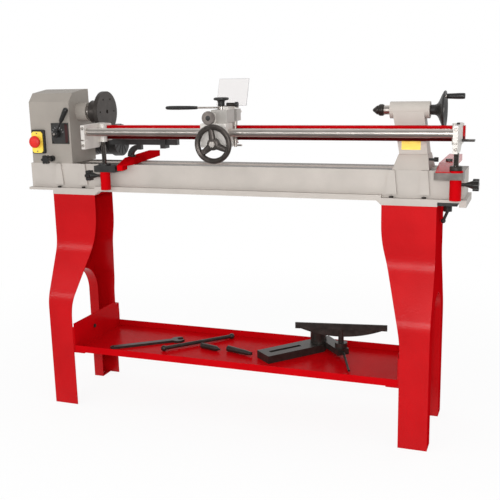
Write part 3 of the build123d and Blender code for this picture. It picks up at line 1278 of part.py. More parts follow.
def tool_ram():
    """Ram with its rack and the tool holder on its end."""
    line_x = ram_line_x()
    teeth = rack_points(RAM_RACK_Y0, RAM_RACK_Y1, LEVER_Y, LEVER_MODULE)
    points = [(line_x + depth, y) for y, depth in teeth]
    back_x = points[0][0]
    face = outline([(RAM_X1, RAM_Y0), (back_x, RAM_Y0), *points, (back_x, RAM_Y1), (RAM_X1, RAM_Y1)])
    shape = along_z(face, RAM_Z0, RAM_Z1) + block(*HOLDER)
    shape -= rod_y(CUTTER_Y0, HOLDER[3] + CUT, CUTTER_X, CUTTER_Z, CUTTER_R)
    return shape - rod_z(HOLDER[4] - CUT, PIN_Z1, PIN_X, PIN_Y, PIN_R)


def cutter():
    """Round cutter ground to a point."""
    return turned_y([(CUTTER_Y0, 0), (CUTTER_Y0, CUTTER_R), (CUTTER_SHOULDER, CUTTER_R),
                     (CUTTER_TIP, CUTTER_TIP_R), (CUTTER_TIP, 0)], CUTTER_X, CUTTER_Z)


def feed_lever():
    """Feed lever with its spindle, pinion, handle and mushroom head."""
    shape = rod_z(LEVER_FOOT_Z, LEVER_HUB_Z, LEVER_X, LEVER_Y, LEVER_SPINDLE_R)
    shape += along_z(Pos(LEVER_X, LEVER_Y) * gear(LEVER_TEETH, LEVER_MODULE, 0), *LEVER_GEAR)
    collar_r = LEVER_POCKET_R - RUN_FIT
    shape += turned_z([(LEVER_COLLAR_Z, 0), (LEVER_COLLAR_Z, collar_r), (LEVER_HUB_Z, collar_r),
                       (LEVER_HUB_Z, LEVER_HUB_R), (LEVER_HUB_TOP, LEVER_HUB_R),
                       (LEVER_HUB_TOP, LEVER_NECK_R), (LEVER_CAP_Z0, LEVER_NECK_R),
                       (LEVER_CAP_Z0, LEVER_CAP_R), (LEVER_CAP_Z1, LEVER_CAP_R), (LEVER_CAP_Z1, 0)],
                      LEVER_X, LEVER_Y)
    shape += rod_x(LEVER_X, LEVER_GRIP_X, LEVER_Y, LEVER_ROD_Z, LEVER_ROD_R)
    return shape + rod_x(LEVER_GRIP_X, LEVER_GRIP_END, LEVER_Y, LEVER_ROD_Z, LEVER_GRIP_R)


def lock_lever():
    """Lever below the saddle that locks it on the beam."""
    top = KEEPER_Z0 - SLIDE_GAP
    shape = rod_z(LATCH_Z0, top, LATCH_X, LATCH_Y, LATCH_HUB_R)
    shape += rod_z(top, LATCH_STEM_Z - CUT, LATCH_X, LATCH_Y, LATCH_STEM_R)
    low_y = LATCH_Y - LATCH_ARM_HALF
    high_y = LATCH_Y + LATCH_ARM_HALF
    return shape + block(LATCH_X, LATCH_X + LATCH_ARM, low_y, high_y, *LATCH_ARM_Z)


def shield_holder():
    """Holder that carries the shield on the ram housing."""
    shape = block(*HOLDER_PLATE) + block(*HOLDER_TAB)
    return shape + rod_x(*HOLDER_ROD_X, HOLDER_ROD_Y, HOLDER_ROD_Z, HOLDER_ROD_R)


def shield():
    """Clear sheet that leans over the work from the holder."""
    sheet = block(*SHIELD_X, 0, SHIELD_THICK, 0, SHIELD_HEIGHT)
    return Pos(0, SHIELD_Y, SHIELD_Z) * Rot(-SHIELD_LEAN, 0, 0) * sheet


def hand_tools():
    """Wrench, knock-out bar and two spare centres on the tray."""
    length = math.dist(*WRENCH_ENDS)
    head_x = length / 2
    wrench = block(-head_x, head_x, -WRENCH_HALF, WRENCH_HALF, 0, WRENCH_THICK)
    wrench += rod_z(0, WRENCH_THICK, head_x, 0, WRENCH_HEAD_R)
    wrench += rod_z(0, WRENCH_THICK, -head_x, 0, WRENCH_HALF)
    jaw = (head_x, head_x + WRENCH_HEAD_R + CUT, -WRENCH_JAW_HALF, WRENCH_JAW_HALF)
    wrench -= block(*jaw, -CUT, WRENCH_THICK + CUT)
    wrench -= rod_z(-CUT, WRENCH_THICK + CUT, -head_x, 0, WRENCH_EYE_R)
    reach = math.dist(*BAR_ENDS) / 2
    bar = rod_x(-reach, reach, 0, 0, BAR_ROD_R)
    bar += Pos(-reach, 0, 0) * Sphere(BAR_BALL_R) + Pos(reach, 0, 0) * Sphere(BAR_BALL_R)
    group = [on_line(WRENCH_ENDS, LOOSE_Z, wrench), on_line(BAR_ENDS, LOOSE_Z + BAR_BALL_R, bar)]
    for ends, (first, middle, last) in ((DEAD_CENTRE, DEAD_CENTRE_R), (SPUR_CENTRE, SPUR_CENTRE_R)):
        reach = math.dist(*ends) / 2
        shape = turned_x([(-reach, 0), (-reach, first), (reach / 2, middle), (reach, last), (reach, 0)],
                         0, 0)
        group.append(on_line(ends, LOOSE_Z + first, shape))
    return Compound(children=group)


def banjo():
    """Banjo foot with its swing arm and clamp lever."""
    length = math.dist(*BANJO_ENDS)
    plate = block(-length / 2, length / 2, -BANJO_HALF, BANJO_HALF, 0, BANJO_THICK)
    slot0, slot1 = BANJO_SLOT
    plate -= block(slot0, slot1, -BANJO_SLOT_HALF, BANJO_SLOT_HALF, -CUT, BANJO_THICK + CUT)
    shape = on_line(BANJO_ENDS, LOOSE_Z, plate)
    shape += rod_z(LOOSE_Z, BANJO_POST_TOP, *BANJO_ENDS[1], BANJO_POST_R)
    reach = math.dist(*BANJO_ARM_ENDS) / 2
    z0, z1 = BANJO_ARM_Z
    arm = block(-reach, reach, -BANJO_ARM_HALF, BANJO_ARM_HALF, z0, z1)
    shape += on_line(BANJO_ARM_ENDS, 0, arm)
    shape += rod_z(z0, BANJO_SOCKET_TOP, REST_X, REST_Y, BANJO_SOCKET_R)
    x0, y0 = BANJO_ARM_ENDS[1]
    x1, y1, low = BANJO_LEVER_END
    start = Vector(x0, y0, (z0 + z1) / 2)
    run = Vector(x1, y1, low) - start
    shape += extrude(Plane(start, z_dir=run) * Circle(BANJO_LEVER_R), run.length)
    return shape - rod_z(REST_STEM_Z, BANJO_SOCKET_TOP + CUT, REST_X, REST_Y, REST_STEM_R)


def tool_rest():
    """Tool rest with its stem in the banjo."""
    section = outline([(-REST_DEPTH, REST_Z0), (REST_DEPTH, REST_Z0), (REST_DEPTH, REST_Z0 + REST_TOP_DEPTH),
                       (-REST_DEPTH + REST_TOP_DEPTH, REST_Z1), (-REST_DEPTH, REST_Z1)])
    shape = along_x(section, -REST_HALF, REST_HALF)
    ends = ((-REST_WEB_HALF, REST_Z0), (REST_WEB_HALF, REST_Z0))
    web = make_face([Line(*ends), ThreePointArc(ends[0], (0, REST_WEB_Z), ends[1])])
    shape += along_y(web, -REST_WEB_THICK, REST_WEB_THICK)
    shape += rod_z(REST_STEM_Z, REST_Z0, 0, 0, REST_STEM_R)
    return Pos(REST_X, REST_Y, 0) * Rot(0, 0, REST_TURN) * shape


frame_left = mirror(end_frame([-x for x in BOLT_XS_LEFT]), Plane.YZ)
arm_left = cross_arm(ARM_LEFT_X, ARM_LEFT_TURN, ARM_BOLT_LEFT)
arm_right = cross_arm(ARM_RIGHT_X, 0, ARM_BOLT_RIGHT)
parts = {
    "end_frame_left": frame_left,
    "end_frame_right": end_frame(BOLT_XS_RIGHT),
    "tool_tray": tray(),
    "frame_bolts": frame_bolts(),
    "bed": bed(),
    "headstock": headstock(),
    "belt_cover": belt_cover(),
    "motor": motor(),
    "motor_pulley": motor_pulley(),
    "drive_belt": belt(),
    "spindle": spindle(),
    "spindle_bearings": bearings(),
    "spindle_pulley": pulley(SPINDLE_R, DRIVEN_R, 0, AXIS_Z),
    "faceplate": faceplate(),
    "speed_plate": speed_plate(),
    "speed_lever": speed_lever(),
    "switch_box": switch_box(),
    "switch_plate": switch_plate(),
    "stop_button": stop_button(),
    "headstock_knob": headstock_knob(),
    "tailstock": tailstock(),
    "tailstock_clamp": tailstock_clamp(),
    "tailstock_knob": tailstock_knob(),
    "quill": quill(),
    "live_centre_body": centre_body(),
    "live_centre_point": centre_point(),
    "tailstock_screw": rod_x(SCREW_X0, WHEEL_BOSS_X, 0, AXIS_Z, SCREW_R),
    "tailstock_wheel": tailstock_wheel(),
    "crank_grip": crank_grip(),
    "post_sockets": sockets(),
    "mount_blocks": mount_blocks(),
    "star_knob_left": star_knob(POST_XS[0], *STAR_HEADS[0]),
    "star_knob_right": star_knob(POST_XS[1], *STAR_HEADS[1]),
    "cross_arms": Compound(children=[arm_left, arm_right]),
    "arm_bolts": arm_bolts(),
    "arm_clamp_plate": clamp_plate(),
    "arm_clamp_lever": clamp_lever(),
    "template_rail": template_rail(),
    "guide_posts": posts(),
    "end_brackets": end_brackets(),
    "guide_bar": rod_x(BRACKET_XS[0][0], BRACKET_XS[1][1], BAR_Y, BAR_Z, BAR_R),
    "beam": block(BRACKET_XS[0][0], BEAM_X1, BEAM_Y0, BEAM_Y1, BEAM_Z0, BEAM_Z1),
    "rack": rack(),
    "post_lock_left": post_lock(POST_XS[0], BRACKET_XS[0][0]),
    "post_lock_right": post_lock(POST_XS[1], BRACKET_XS[1][1]),
    "saddle": saddle(),
    "pinion_shaft": pinion_shaft(),
    "carriage_wheel": carriage_wheel(),
    "stop_dial": stop_dial(),
    "ram_housing": ram_housing(),
    "tool_ram": tool_ram(),
    "cutter": cutter(),
    "follower_pin": rod_z(PIN_Z0, PIN_Z1, PIN_X, PIN_Y, PIN_R),
    "feed_lever": feed_lever(),
    "lock_lever": lock_lever(),
    "shield_holder": shield_holder(),
    "shield": shield(),
    "hand_tools": hand_tools(),
    "banjo": banjo(),
    "tool_rest": tool_rest(),
}
os.makedirs("parts", exist_ok=True)
for name, shape in parts.items():
    export_step(shape, f"parts/{name}.step")
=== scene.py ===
"""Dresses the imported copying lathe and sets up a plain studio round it.

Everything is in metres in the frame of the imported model: +X to the tailstock, +Y to the back
and +Z up, with the origin on the floor below the middle of the bed.
"""

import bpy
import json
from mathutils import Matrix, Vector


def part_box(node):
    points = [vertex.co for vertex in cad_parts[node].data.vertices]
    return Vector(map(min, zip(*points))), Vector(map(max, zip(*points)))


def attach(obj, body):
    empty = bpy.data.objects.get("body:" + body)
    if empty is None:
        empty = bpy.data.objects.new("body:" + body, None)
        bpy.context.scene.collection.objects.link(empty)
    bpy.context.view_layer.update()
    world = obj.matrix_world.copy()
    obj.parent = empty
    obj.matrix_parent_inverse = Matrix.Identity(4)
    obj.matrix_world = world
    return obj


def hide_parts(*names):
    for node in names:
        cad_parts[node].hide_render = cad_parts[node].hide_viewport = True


bl_info = {
    "name": "Copying Lathe",
    "version": (1, 0, 0),
    "blender": (4, 5, 0),
    "location": "3D View > Sidebar > Lathe",
    "description": "Dresses the packed copying lathe and sets up its studio",
    "category": "Object",
}

import json
import math

import bmesh
import bpy
from mathutils import Matrix, Vector

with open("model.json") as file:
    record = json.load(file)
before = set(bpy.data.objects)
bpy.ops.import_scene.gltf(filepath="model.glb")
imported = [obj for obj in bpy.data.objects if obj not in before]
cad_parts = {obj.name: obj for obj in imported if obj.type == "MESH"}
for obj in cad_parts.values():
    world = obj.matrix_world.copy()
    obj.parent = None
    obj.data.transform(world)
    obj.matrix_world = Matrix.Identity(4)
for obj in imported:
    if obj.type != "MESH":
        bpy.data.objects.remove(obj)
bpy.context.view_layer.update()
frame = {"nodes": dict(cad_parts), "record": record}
BODIES = frame["record"]["behaviour"]["bodies"]
NODE_BODY = {node: body for body, nodes in BODIES.items() for node in nodes}

MM = 0.001
X = Vector((1, 0, 0))
Y = Vector((0, 1, 0))
Z = Vector((0, 0, 1))
ROUND = 48  # steps of a full turn
MERGE = 0.002 * MM  # distance below which two points are one
FLAT = math.radians(0.5)  # faces closer in angle than this become one face
SHARP = math.radians(32)  # edges sharper than this are rounded and stay sharp in the shading
SCREW_SINK = 0.5  # millimetres of a screw head below its seat
SCREW_STEPS = 20
# Heights and radii of a screw head from its rim to the foot of its recess, over its radius
SCREW_SHAPE = ((0.595, 1), (0.85, 0.8), (0.85, 0.5), (0.34, 0.42), (0.34, 0))
WHITE = (1, 1, 1, 1)


def linear(colour):
    """Linear red, green and blue of an sRGB hex colour."""
    values = [int(colour[i:i + 2], 16) / 255 for i in (0, 2, 4)]
    return tuple(v / 12.92 if v <= 0.04045 else ((v + 0.055) / 1.055) ** 2.4 for v in values)


def colour_property(name, colour, description):
    """A colour that the user can change, given as sRGB hex."""
    return bpy.props.FloatVectorProperty(name=name, description=description, subtype="COLOR", size=3,
                                         min=0, max=1, default=linear(colour))


def length_property(name, millimetres, description):
    """A length that the user can change, given in millimetres."""
    return bpy.props.FloatProperty(name=name, description=description, unit="LENGTH", min=0,
                                   default=millimetres * MM)


class LatheColours(bpy.types.PropertyGroup):
    """Colours of the paints, metals and plastics."""

    enamel: colour_property("Red enamel", "BA060E", "Gloss enamel of the stand, the arms and the beam")
    # Headstock, bed and tailstock take three shades of one hammer paint, darkest at the headstock and palest
    # at the tailstock: partly the paint's own colour, partly painted shade and light along the bed
    casting: colour_property("Casting paint", "9B948C", "Paint of the headstock")
    bed: colour_property("Bed paint", "B6AFA8", "Paint of the bed")
    tailstock: colour_property("Tailstock paint", "BEB7AF", "Paint of the tailstock")
    black_paint: colour_property("Black paint", "2A2928", "Satin black paint on the fittings")
    dark_iron: colour_property("Dark iron", "534D49", "Oiled iron of the handwheels and the loose tools")
    phenolic: colour_property("Black moulding", "232221", "Moulded black knobs and grips")
    yellow: colour_property("Yellow plate", "FFDC50", "Plate of the switch")
    stop_red: colour_property("Stop button", "D91C10", "Moulded stop button")
    steel: colour_property("Ground steel", "CEC6BF", "Bars, posts and quill")
    ways: colour_property("Ground ways", "767069", "Ground top of the bed")
    aluminium: colour_property("Cast aluminium", "D8D3CD", "Saddle and end brackets")
    # Dark post steel: a painted reflection of dark surroundings on bright steel
    painted_dark_reflection_steel: colour_property("Steel with painted dark reflections", "6A6561", "Posts of the copying frame")
    marks: colour_property("Marks", "A0A0A0", "Printed marks of the speed plate")
    shield: colour_property("Shield", "FCF9F8", "Clear sheet of the shield")
    floor: colour_property("Floor", "F4F4F4", "Pale studio floor")


class LatheSizes(bpy.types.PropertyGroup):
    """Sizes of the finishing details."""

    casting_edge: length_property("Casting edge", 2.0, "Rounding of the edges of a casting")
    sheet_edge: length_property("Sheet edge", 0.7, "Rounding of the edges of folded sheet")
    machined_edge: length_property("Machined edge", 0.5, "Bevel of the edges of a machined piece")
    moulded_edge: length_property("Moulded edge", 1.3, "Rounding of the edges of a moulding")
    knob_edge: length_property("Knob edge", 2.2, "Rounding of the lobes of a star knob")
    lamp_size: length_property("Lamp size", 250.0, "Width of the main soft lamp")
    strip_length: length_property("Strip length", 4000.0, "Length of the strip lamp before the lathe")
    strip_width: length_property("Strip width", 280.0, "Height of the strip lamp before the lathe")


# Materials

def add_node(tree, kind, values=None, links=None, ramp=None, **settings):
    """Adds a node, sets its attributes, sockets and ramp, and links other nodes' outputs to it."""
    node = tree.nodes.new(kind)
    for key, value in settings.items():
        setattr(node, key, value)
    for key, value in (values or {}).items():
        node.inputs[key].default_value = value
    for key, (source, output) in (links or {}).items():
        tree.links.new(source.outputs[output], node.inputs[key])
    if ramp:
        stops = node.color_ramp.elements
        while len(stops) < len(ramp):
            stops.new(1)
        for stop, (position, colour) in zip(stops, ramp):
            stop.position = position
            stop.color = (*colour, 1)
    return node


def empty_tree(holder):
    """The cleared node tree of a new material or world."""
    holder.use_nodes = True
    holder.node_tree.nodes.clear()
    return holder.node_tree


def new_material(name, **constants):
    """A node material with its shader and its output, and a link to Object coordinates."""
    tree = empty_tree(bpy.data.materials.new(name))
    sockets = {key.replace("_", " "): value for key, value in constants.items()}
    shader = add_node(tree, "ShaderNodeBsdfPrincipled", sockets)
    add_node(tree, "ShaderNodeOutputMaterial", links={"Surface": (shader, "BSDF")})
    place = add_node(tree, "ShaderNodeTexCoord")
    return tree, shader, (place, "Object")


def per_mm(size):
    """Texture scale that gives features of a size in millimetres."""
    return 1 / (size * MM)


def shade(colour, factor):
    """A colour made darker or lighter by a factor."""
    return tuple(min(1, channel * factor) for channel in colour)


def finish_surface(tree, shader, rough, tint=None, bump=None):
    """Links what varies over a surface to its shader.

    Rough is an output with the lowest and highest roughness, tint an output with a colour and its
    stops as positions and shades, and bump an output with a depth in millimetres and a strength.
    """
    if tint:
        source, colour, stops = tint
        ramp = [(position, shade(colour, factor)) for position, factor in stops]
        tinted = add_node(tree, "ShaderNodeValToRGB", links={"Fac": source}, ramp=ramp)
        tree.links.new(tinted.outputs["Color"], shader.inputs["Base Color"])
    source, low, high = rough
    ranged = add_node(tree, "ShaderNodeMapRange", {"To Min": low, "To Max": high}, {"Value": source})
    tree.links.new(ranged.outputs["Result"], shader.inputs["Roughness"])
    if bump:
        source, depth, strength = bump
        raised = add_node(tree, "ShaderNodeBump", {"Distance": depth * MM, "Strength": strength},
                          {"Height": source})
        tree.links.new(raised.outputs["Normal"], shader.inputs["Normal"])


def enamel(name, colour, gloss):
    """Oven-dried enamel on sheet steel: a deep even red, its gloss broken by orange peel and fine dust."""
    tree, shader, place = new_material(name, Specular_IOR_Level=gloss)
    peel = add_node(tree, "ShaderNodeTexNoise", {"Scale": per_mm(5.5), "Detail": 2.0}, {"Vector": place})
    cloud = add_node(tree, "ShaderNodeTexNoise", {"Scale": per_mm(140), "Detail": 3.0}, {"Vector": place})
    finish_surface(tree, shader, ((cloud, "Fac"), 0.2, 0.26),
                   ((cloud, "Fac"), colour, ((0.3, 0.9), (0.7, 1.06))), ((peel, "Fac"), 0.5, 0.9))


def hammer_paint(name, colour):
    """Hammer paint on cast iron: a pale warm grey skin with shallow dimples over the sand of the casting."""
    tree, shader, place = new_material(name, Specular_IOR_Level=0.25)
    cells = add_node(tree, "ShaderNodeTexVoronoi", {"Scale": per_mm(4.5), "Randomness": 1.0},
                     {"Vector": place}, feature="SMOOTH_F1")
    sand = add_node(tree, "ShaderNodeTexNoise", {"Scale": per_mm(2.2), "Detail": 4.0}, {"Vector": place})
    cloud = add_node(tree, "ShaderNodeTexNoise", {"Scale": per_mm(90), "Detail": 3.0}, {"Vector": place})
    height = add_node(tree, "ShaderNodeMath", links={0: (cells, "Distance"), 1: (sand, "Fac")},
                      operation="MULTIPLY")
    mixed = add_node(tree, "ShaderNodeMath", {1: 0.35}, {0: (sand, "Fac"), 2: (cloud, "Fac")},
                     operation="MULTIPLY_ADD")
    finish_surface(tree, shader, ((sand, "Fac"), 0.42, 0.6),
                   ((mixed, "Value"), colour, ((0.35, 0.9), (1.0, 1.08))), ((height, "Value"), 0.6, 0.35))


def ground_metal(name, colour, rough_range, along):
    """Ground metal: a grey sheen drawn out in fine scratches along the stroke of the wheel."""
    tree, shader, place = new_material(name, Metallic=1.0)
    stretch = [0.02 if axis == along else 1 for axis in "XYZ"]
    drawn_out = add_node(tree, "ShaderNodeMapping", {"Scale": stretch}, {"Vector": place})
    # Real grinding marks are finer than a pixel, so they are drawn about 1.5 mm apart.
    marks = add_node(tree, "ShaderNodeTexNoise", {"Scale": per_mm(1.5), "Detail": 4.0},
                     {"Vector": (drawn_out, "Vector")})
    cloud = add_node(tree, "ShaderNodeTexNoise", {"Scale": per_mm(60), "Detail": 2.0}, {"Vector": place})
    mixed = add_node(tree, "ShaderNodeMath", {1: 0.5}, {0: (marks, "Fac"), 2: (cloud, "Fac")},
                     operation="MULTIPLY_ADD")
    finish_surface(tree, shader, ((marks, "Fac"), *rough_range),
                   ((mixed, "Value"), colour, ((0.5, 0.85), (1.0, 1.08))), ((marks, "Fac"), 0.02, 0.05))


def cast_aluminium(name, colour):
    """Cast aluminium with milled faces: a bright soft metal with a faint grain and dull pits."""
    tree, shader, place = new_material(name, Metallic=0.4)
    grain = add_node(tree, "ShaderNodeTexNoise", {"Scale": per_mm(1.8), "Detail": 4.0}, {"Vector": place})
    cloud = add_node(tree, "ShaderNodeTexNoise", {"Scale": per_mm(45), "Detail": 3.0}, {"Vector": place})
    finish_surface(tree, shader, ((grain, "Fac"), 0.42, 0.58),
                   ((cloud, "Fac"), colour, ((0.3, 0.88), (0.7, 1.05))), ((grain, "Fac"), 0.08, 0.25))


def turned_iron(name, colour, axis_point):
    """Turned cast iron: a dark dull face with fine rings left by the tool round the spindle axis."""
    tree, shader, place = new_material(name, Metallic=0.6)
    centred = add_node(tree, "ShaderNodeMapping", {"Location": -axis_point}, {"Vector": place})
    # A wave texture turns twenty radians for each unit of scale. Real tool marks are too fine to show,
    # so the rings are drawn 3 mm apart.
    rings = add_node(tree, "ShaderNodeTexWave", {"Scale": per_mm(3.0) * math.tau / 20, "Distortion": 0.6},
                     {"Vector": (centred, "Vector")}, wave_type="RINGS", rings_direction="X")
    cloud = add_node(tree, "ShaderNodeTexNoise", {"Scale": per_mm(30), "Detail": 4.0}, {"Vector": place})
    finish_surface(tree, shader, ((rings, "Fac"), 0.36, 0.52),
                   ((cloud, "Fac"), colour, ((0.3, 0.8), (0.7, 1.15))), ((rings, "Fac"), 0.05, 0.35))


def dark_casting(name, colour, metallic, rough_range):
    """Dark iron or satin black paint on it: a dull body with worn lighter patches and a sandy skin."""
    tree, shader, place = new_material(name, Metallic=metallic, Specular_IOR_Level=0.45)
    sand = add_node(tree, "ShaderNodeTexNoise", {"Scale": per_mm(1.6), "Detail": 4.0}, {"Vector": place})
    wear = add_node(tree, "ShaderNodeTexNoise", {"Scale": per_mm(22), "Detail": 5.0}, {"Vector": place})
    finish_surface(tree, shader, ((wear, "Fac"), *rough_range),
                   ((wear, "Fac"), colour, ((0.35, 0.75), (0.55, 1), (0.75, 1.35))),
                   ((sand, "Fac"), 0.1, 0.3))


def moulded(name, colour, rough_range, grain_mm):
    """Moulded plastic: an even body colour with a fine spark-eroded grain that softens the gloss."""
    tree, shader, place = new_material(name, IOR=1.5)
    grain = add_node(tree, "ShaderNodeTexNoise", {"Scale": per_mm(grain_mm), "Detail": 3.0},
                     {"Vector": place})
    cloud = add_node(tree, "ShaderNodeTexNoise", {"Scale": per_mm(30), "Detail": 2.0}, {"Vector": place})
    finish_surface(tree, shader, ((grain, "Fac"), *rough_range),
                   ((cloud, "Fac"), colour, ((0.3, 0.9), (0.7, 1.1))), ((grain, "Fac"), 0.05, 0.25))


def polycarbonate(name, colour):
    """Polycarbonate sheet: nearly clear, with a faint warm cast and wiping marks in its gloss."""
    tree, shader, place = new_material(name, IOR=1.58, Transmission_Weight=0.96, Base_Color=(*colour, 1))
    smear = add_node(tree, "ShaderNodeTexNoise", {"Scale": per_mm(25), "Detail": 3.0}, {"Vector": place})
    finish_surface(tree, shader, ((smear, "Fac"), 0.02, 0.16))


def make_finishes(colours):
    """Makes every material of the lathe once."""
    red = colours.enamel
    enamel("Red gloss enamel", red, 0.3)
    enamel("Red satin enamel", red, 0.015)
    enamel("Dull red enamel", red, 0.0)
    # A near black red: painted shadow, for the strip where the bar shades the foot of the beam
    enamel("Painted shadow red enamel", shade(red, 0.14), 0.05)
    # Three shades of one hammer paint, darker to the left and paler to the right: partly the paint's own
    # colour, partly painted shade and light along the bed
    hammer_paint("Grey hammer paint", colours.casting)
    hammer_paint("Light hammer paint", colours.bed)
    hammer_paint("Pale hammer paint", colours.tailstock)
    ground_metal("Ground iron ways", colours.ways, (0.35, 0.55), "X")
    ground_metal("Ground steel", colours.steel, (0.36, 0.42), "X")
    ground_metal("Zinc plated steel", shade(colours.steel, 0.85), (0.25, 0.4), "Z")
    # Steel darkened as a painted reflection of dark surroundings, for the posts
    ground_metal("Steel with painted dark reflections", colours.painted_dark_reflection_steel, (0.12, 0.22), "Z")
    turned_iron("Turned black iron", shade(colours.dark_iron, 0.7), middle("faceplate"))
    cast_aluminium("Cast aluminium", colours.aluminium)
    # A copy of the cast aluminium darker by a third, for the ram housing and the ram
    cast_aluminium("Darker cast aluminium", shade(colours.aluminium, 0.66))
    dark_casting("Satin black paint", colours.black_paint, 0.0, (0.35, 0.55))
    dark_casting("Oiled iron", colours.dark_iron, 0.7, (0.32, 0.5))
    # A paler copy of the dark iron, for the stop dial and the right mount block
    dark_casting("Pale iron", shade(colours.dark_iron, 1.9), 0.2, (0.35, 0.5))
    dark_casting("Black oxide steel", shade(colours.dark_iron, 0.55), 0.6, (0.3, 0.5))
    moulded("Black phenolic", colours.phenolic, (0.28, 0.45), 0.9)
    moulded("Yellow ABS", colours.yellow, (0.3, 0.42), 0.8)
    moulded("Red ABS", colours.stop_red, (0.36, 0.46), 0.8)
    moulded("Belt rubber", shade(colours.phenolic, 1.2), (0.6, 0.8), 1.2)
    moulded("Black panel print", shade(colours.phenolic, 1.6), (0.4, 0.5), 0.8)
    moulded("Red panel print", shade(red, 0.08), (0.4, 0.5), 0.8)
    moulded("White panel print", colours.marks, (0.4, 0.5), 0.8)
    polycarbonate("Clear polycarbonate", colours.shield)


# Meshes

def closed_up(bm):
    """Merges the seams and poles of spun shapes and turns their faces outwards."""
    bmesh.ops.remove_doubles(bm, verts=bm.verts, dist=MERGE)
    bmesh.ops.recalc_face_normals(bm, faces=bm.faces)


def turned(bm, origin, axis, profile, closed=False, steps=ROUND):
    """Spins pairs of distance along an axis and radius, in millimetres, round the axis."""
    side = axis.orthogonal().normalized()
    points = [bm.verts.new(origin + (axis * along + side * radius) * MM) for along, radius in profile]
    pairs = list(zip(points, points[1:]))
    if closed:
        pairs.append((points[-1], points[0]))
    edges = [bm.edges.new(pair) for pair in pairs]
    bmesh.ops.spin(bm, geom=points + edges, cent=origin, axis=axis, angle=math.tau, steps=steps,
                   use_merge=True)


def rod(bm, start, end, radius):
    """Straight round bar between two points, its radius in millimetres."""
    run = end - start
    length = run.length / MM
    turned(bm, start, run.normalized(), [(0, 0), (0, radius), (length, radius), (length, 0)])


def cap_screw(bm, seat, axis, radius):
    """Round screw head with a recess, standing on its seat, its radius in millimetres."""
    head = [(up * radius, out * radius) for up, out in SCREW_SHAPE]
    turned(bm, seat, axis, [(-SCREW_SINK, 0), (-SCREW_SINK, radius), *head], steps=SCREW_STEPS)


def slab(bm, low, high):
    """Box between two corners."""
    low = Vector(low)
    high = Vector(high)
    size = high - low
    place = Matrix.Translation((low + high) / 2) @ Matrix.Diagonal((*size, 1))
    return bmesh.ops.create_cube(bm, size=1, matrix=place)["verts"]


def hexagon(bm, centre, axis, flats, height):
    """Hexagon that stands on a centre along an axis, its sizes in millimetres."""
    radius = flats * MM / math.sqrt(3)
    turn = axis.to_track_quat("Z", "X").to_matrix().to_4x4()
    place = Matrix.Translation(centre + axis * height * MM / 2) @ turn
    bmesh.ops.create_cone(bm, cap_ends=True, segments=6, radius1=radius, radius2=radius, depth=height * MM,
                          matrix=place)


def round_edges(bm, width, test=None, segments=2):
    """Rounds the edges between faces that meet sharply."""
    edges = []
    for edge in bm.edges:
        if len(edge.link_faces) == 2 and edge.calc_face_angle() > SHARP and (test is None or test(edge)):
            edges.append(edge)
    bmesh.ops.bevel(bm, geom=edges, offset=width, offset_type="OFFSET", segments=segments, profile=0.5,
                    affect="EDGES", clamp_overlap=True, material=-1)


def corner_normals(bm):
    """Normals that lean to the larger faces at a point, so that flat faces look flat up to their edges."""
    bm.normal_update()
    areas = {face: face.calc_area() for face in bm.faces}
    least = math.cos(SHARP)
    normals = []
    for face in bm.faces:
        for corner in face.loops:
            near = [other for other in corner.vert.link_faces if other.normal.dot(face.normal) > least]
            normals.append(sum((other.normal * areas[other] for other in near), Vector()).normalized())
    return normals


def piece(bm, name, body, finish, nodes=(), regions=(), recalculate=True):
    """Makes a finished piece of a bmesh, riding on a body in place of CAD nodes."""
    if recalculate:
        closed_up(bm)
    mesh = bpy.data.meshes.new(name)
    mesh.materials.append(bpy.data.materials[finish])
    for index, (extra, inside) in enumerate(regions, 1):
        mesh.materials.append(bpy.data.materials[extra])
        for face in bm.faces:
            if inside(face):
                face.material_index = index
    for face in bm.faces:
        face.smooth = True
    for edge in bm.edges:
        edge.smooth = len(edge.link_faces) == 2 and edge.calc_face_angle() < SHARP
    bm.to_mesh(mesh)
    mesh.normals_split_custom_set(corner_normals(bm))
    bm.free()
    made = bpy.data.objects.new(name, mesh)
    bpy.context.scene.collection.objects.link(made)
    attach(made, body)
    if nodes:
        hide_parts(*nodes)


def new_part(bm, name, node, finish, replace=True):
    """Finished piece that stands for a CAD node or goes with it."""
    nodes = (node,) if replace else ()
    piece(bm, name, NODE_BODY[node], finish, nodes)


def dressed(node, finish, edge, regions=()):
    """Replaces a CAD node by a merged copy with its sharp edges rounded."""
    bm = bmesh.new()
    bm.from_mesh(frame["nodes"][node].data)
    bmesh.ops.remove_doubles(bm, verts=bm.verts, dist=MERGE)
    bmesh.ops.dissolve_limit(bm, angle_limit=FLAT, verts=bm.verts, edges=bm.edges)
    round_edges(bm, edge)
    piece(bm, node + "_finish", NODE_BODY[node], finish, (node,), regions, False)


def keep_node(node, finish):
    """Gives a CAD node that stays its material."""
    materials = frame["nodes"][node].data.materials
    materials.clear()
    materials.append(bpy.data.materials[finish])


def middle(node):
    """Centre of a CAD node's box."""
    low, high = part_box(node)
    return (low + high) / 2


def spun(name, node, finish, origin, axis, profile, closed=False, replace=True):
    """Turned piece that stands for a CAD node or goes with it."""
    bm = bmesh.new()
    turned(bm, origin, axis, profile, closed)
    new_part(bm, name, node, finish, replace)


def screws(name, node, finish, axis, radius, seats):
    """Group of screw heads that goes with a CAD node."""
    bm = bmesh.new()
    for seat in seats:
        cap_screw(bm, Vector(seat), axis, radius)
    new_part(bm, name, node, finish, replace=False)


def grid(first, second):
    """Every pair of two lists of values."""
    return [(a, b) for a in first for b in second]


def inset_ends(low, high, inset):
    """Two values inside the ends of a range, by an inset in millimetres."""
    return (low + inset * MM, high - inset * MM)


# Sizes of the dressed pieces in millimetres, unless a comment says otherwise. A profile is pairs of
# distance along the axis and radius.

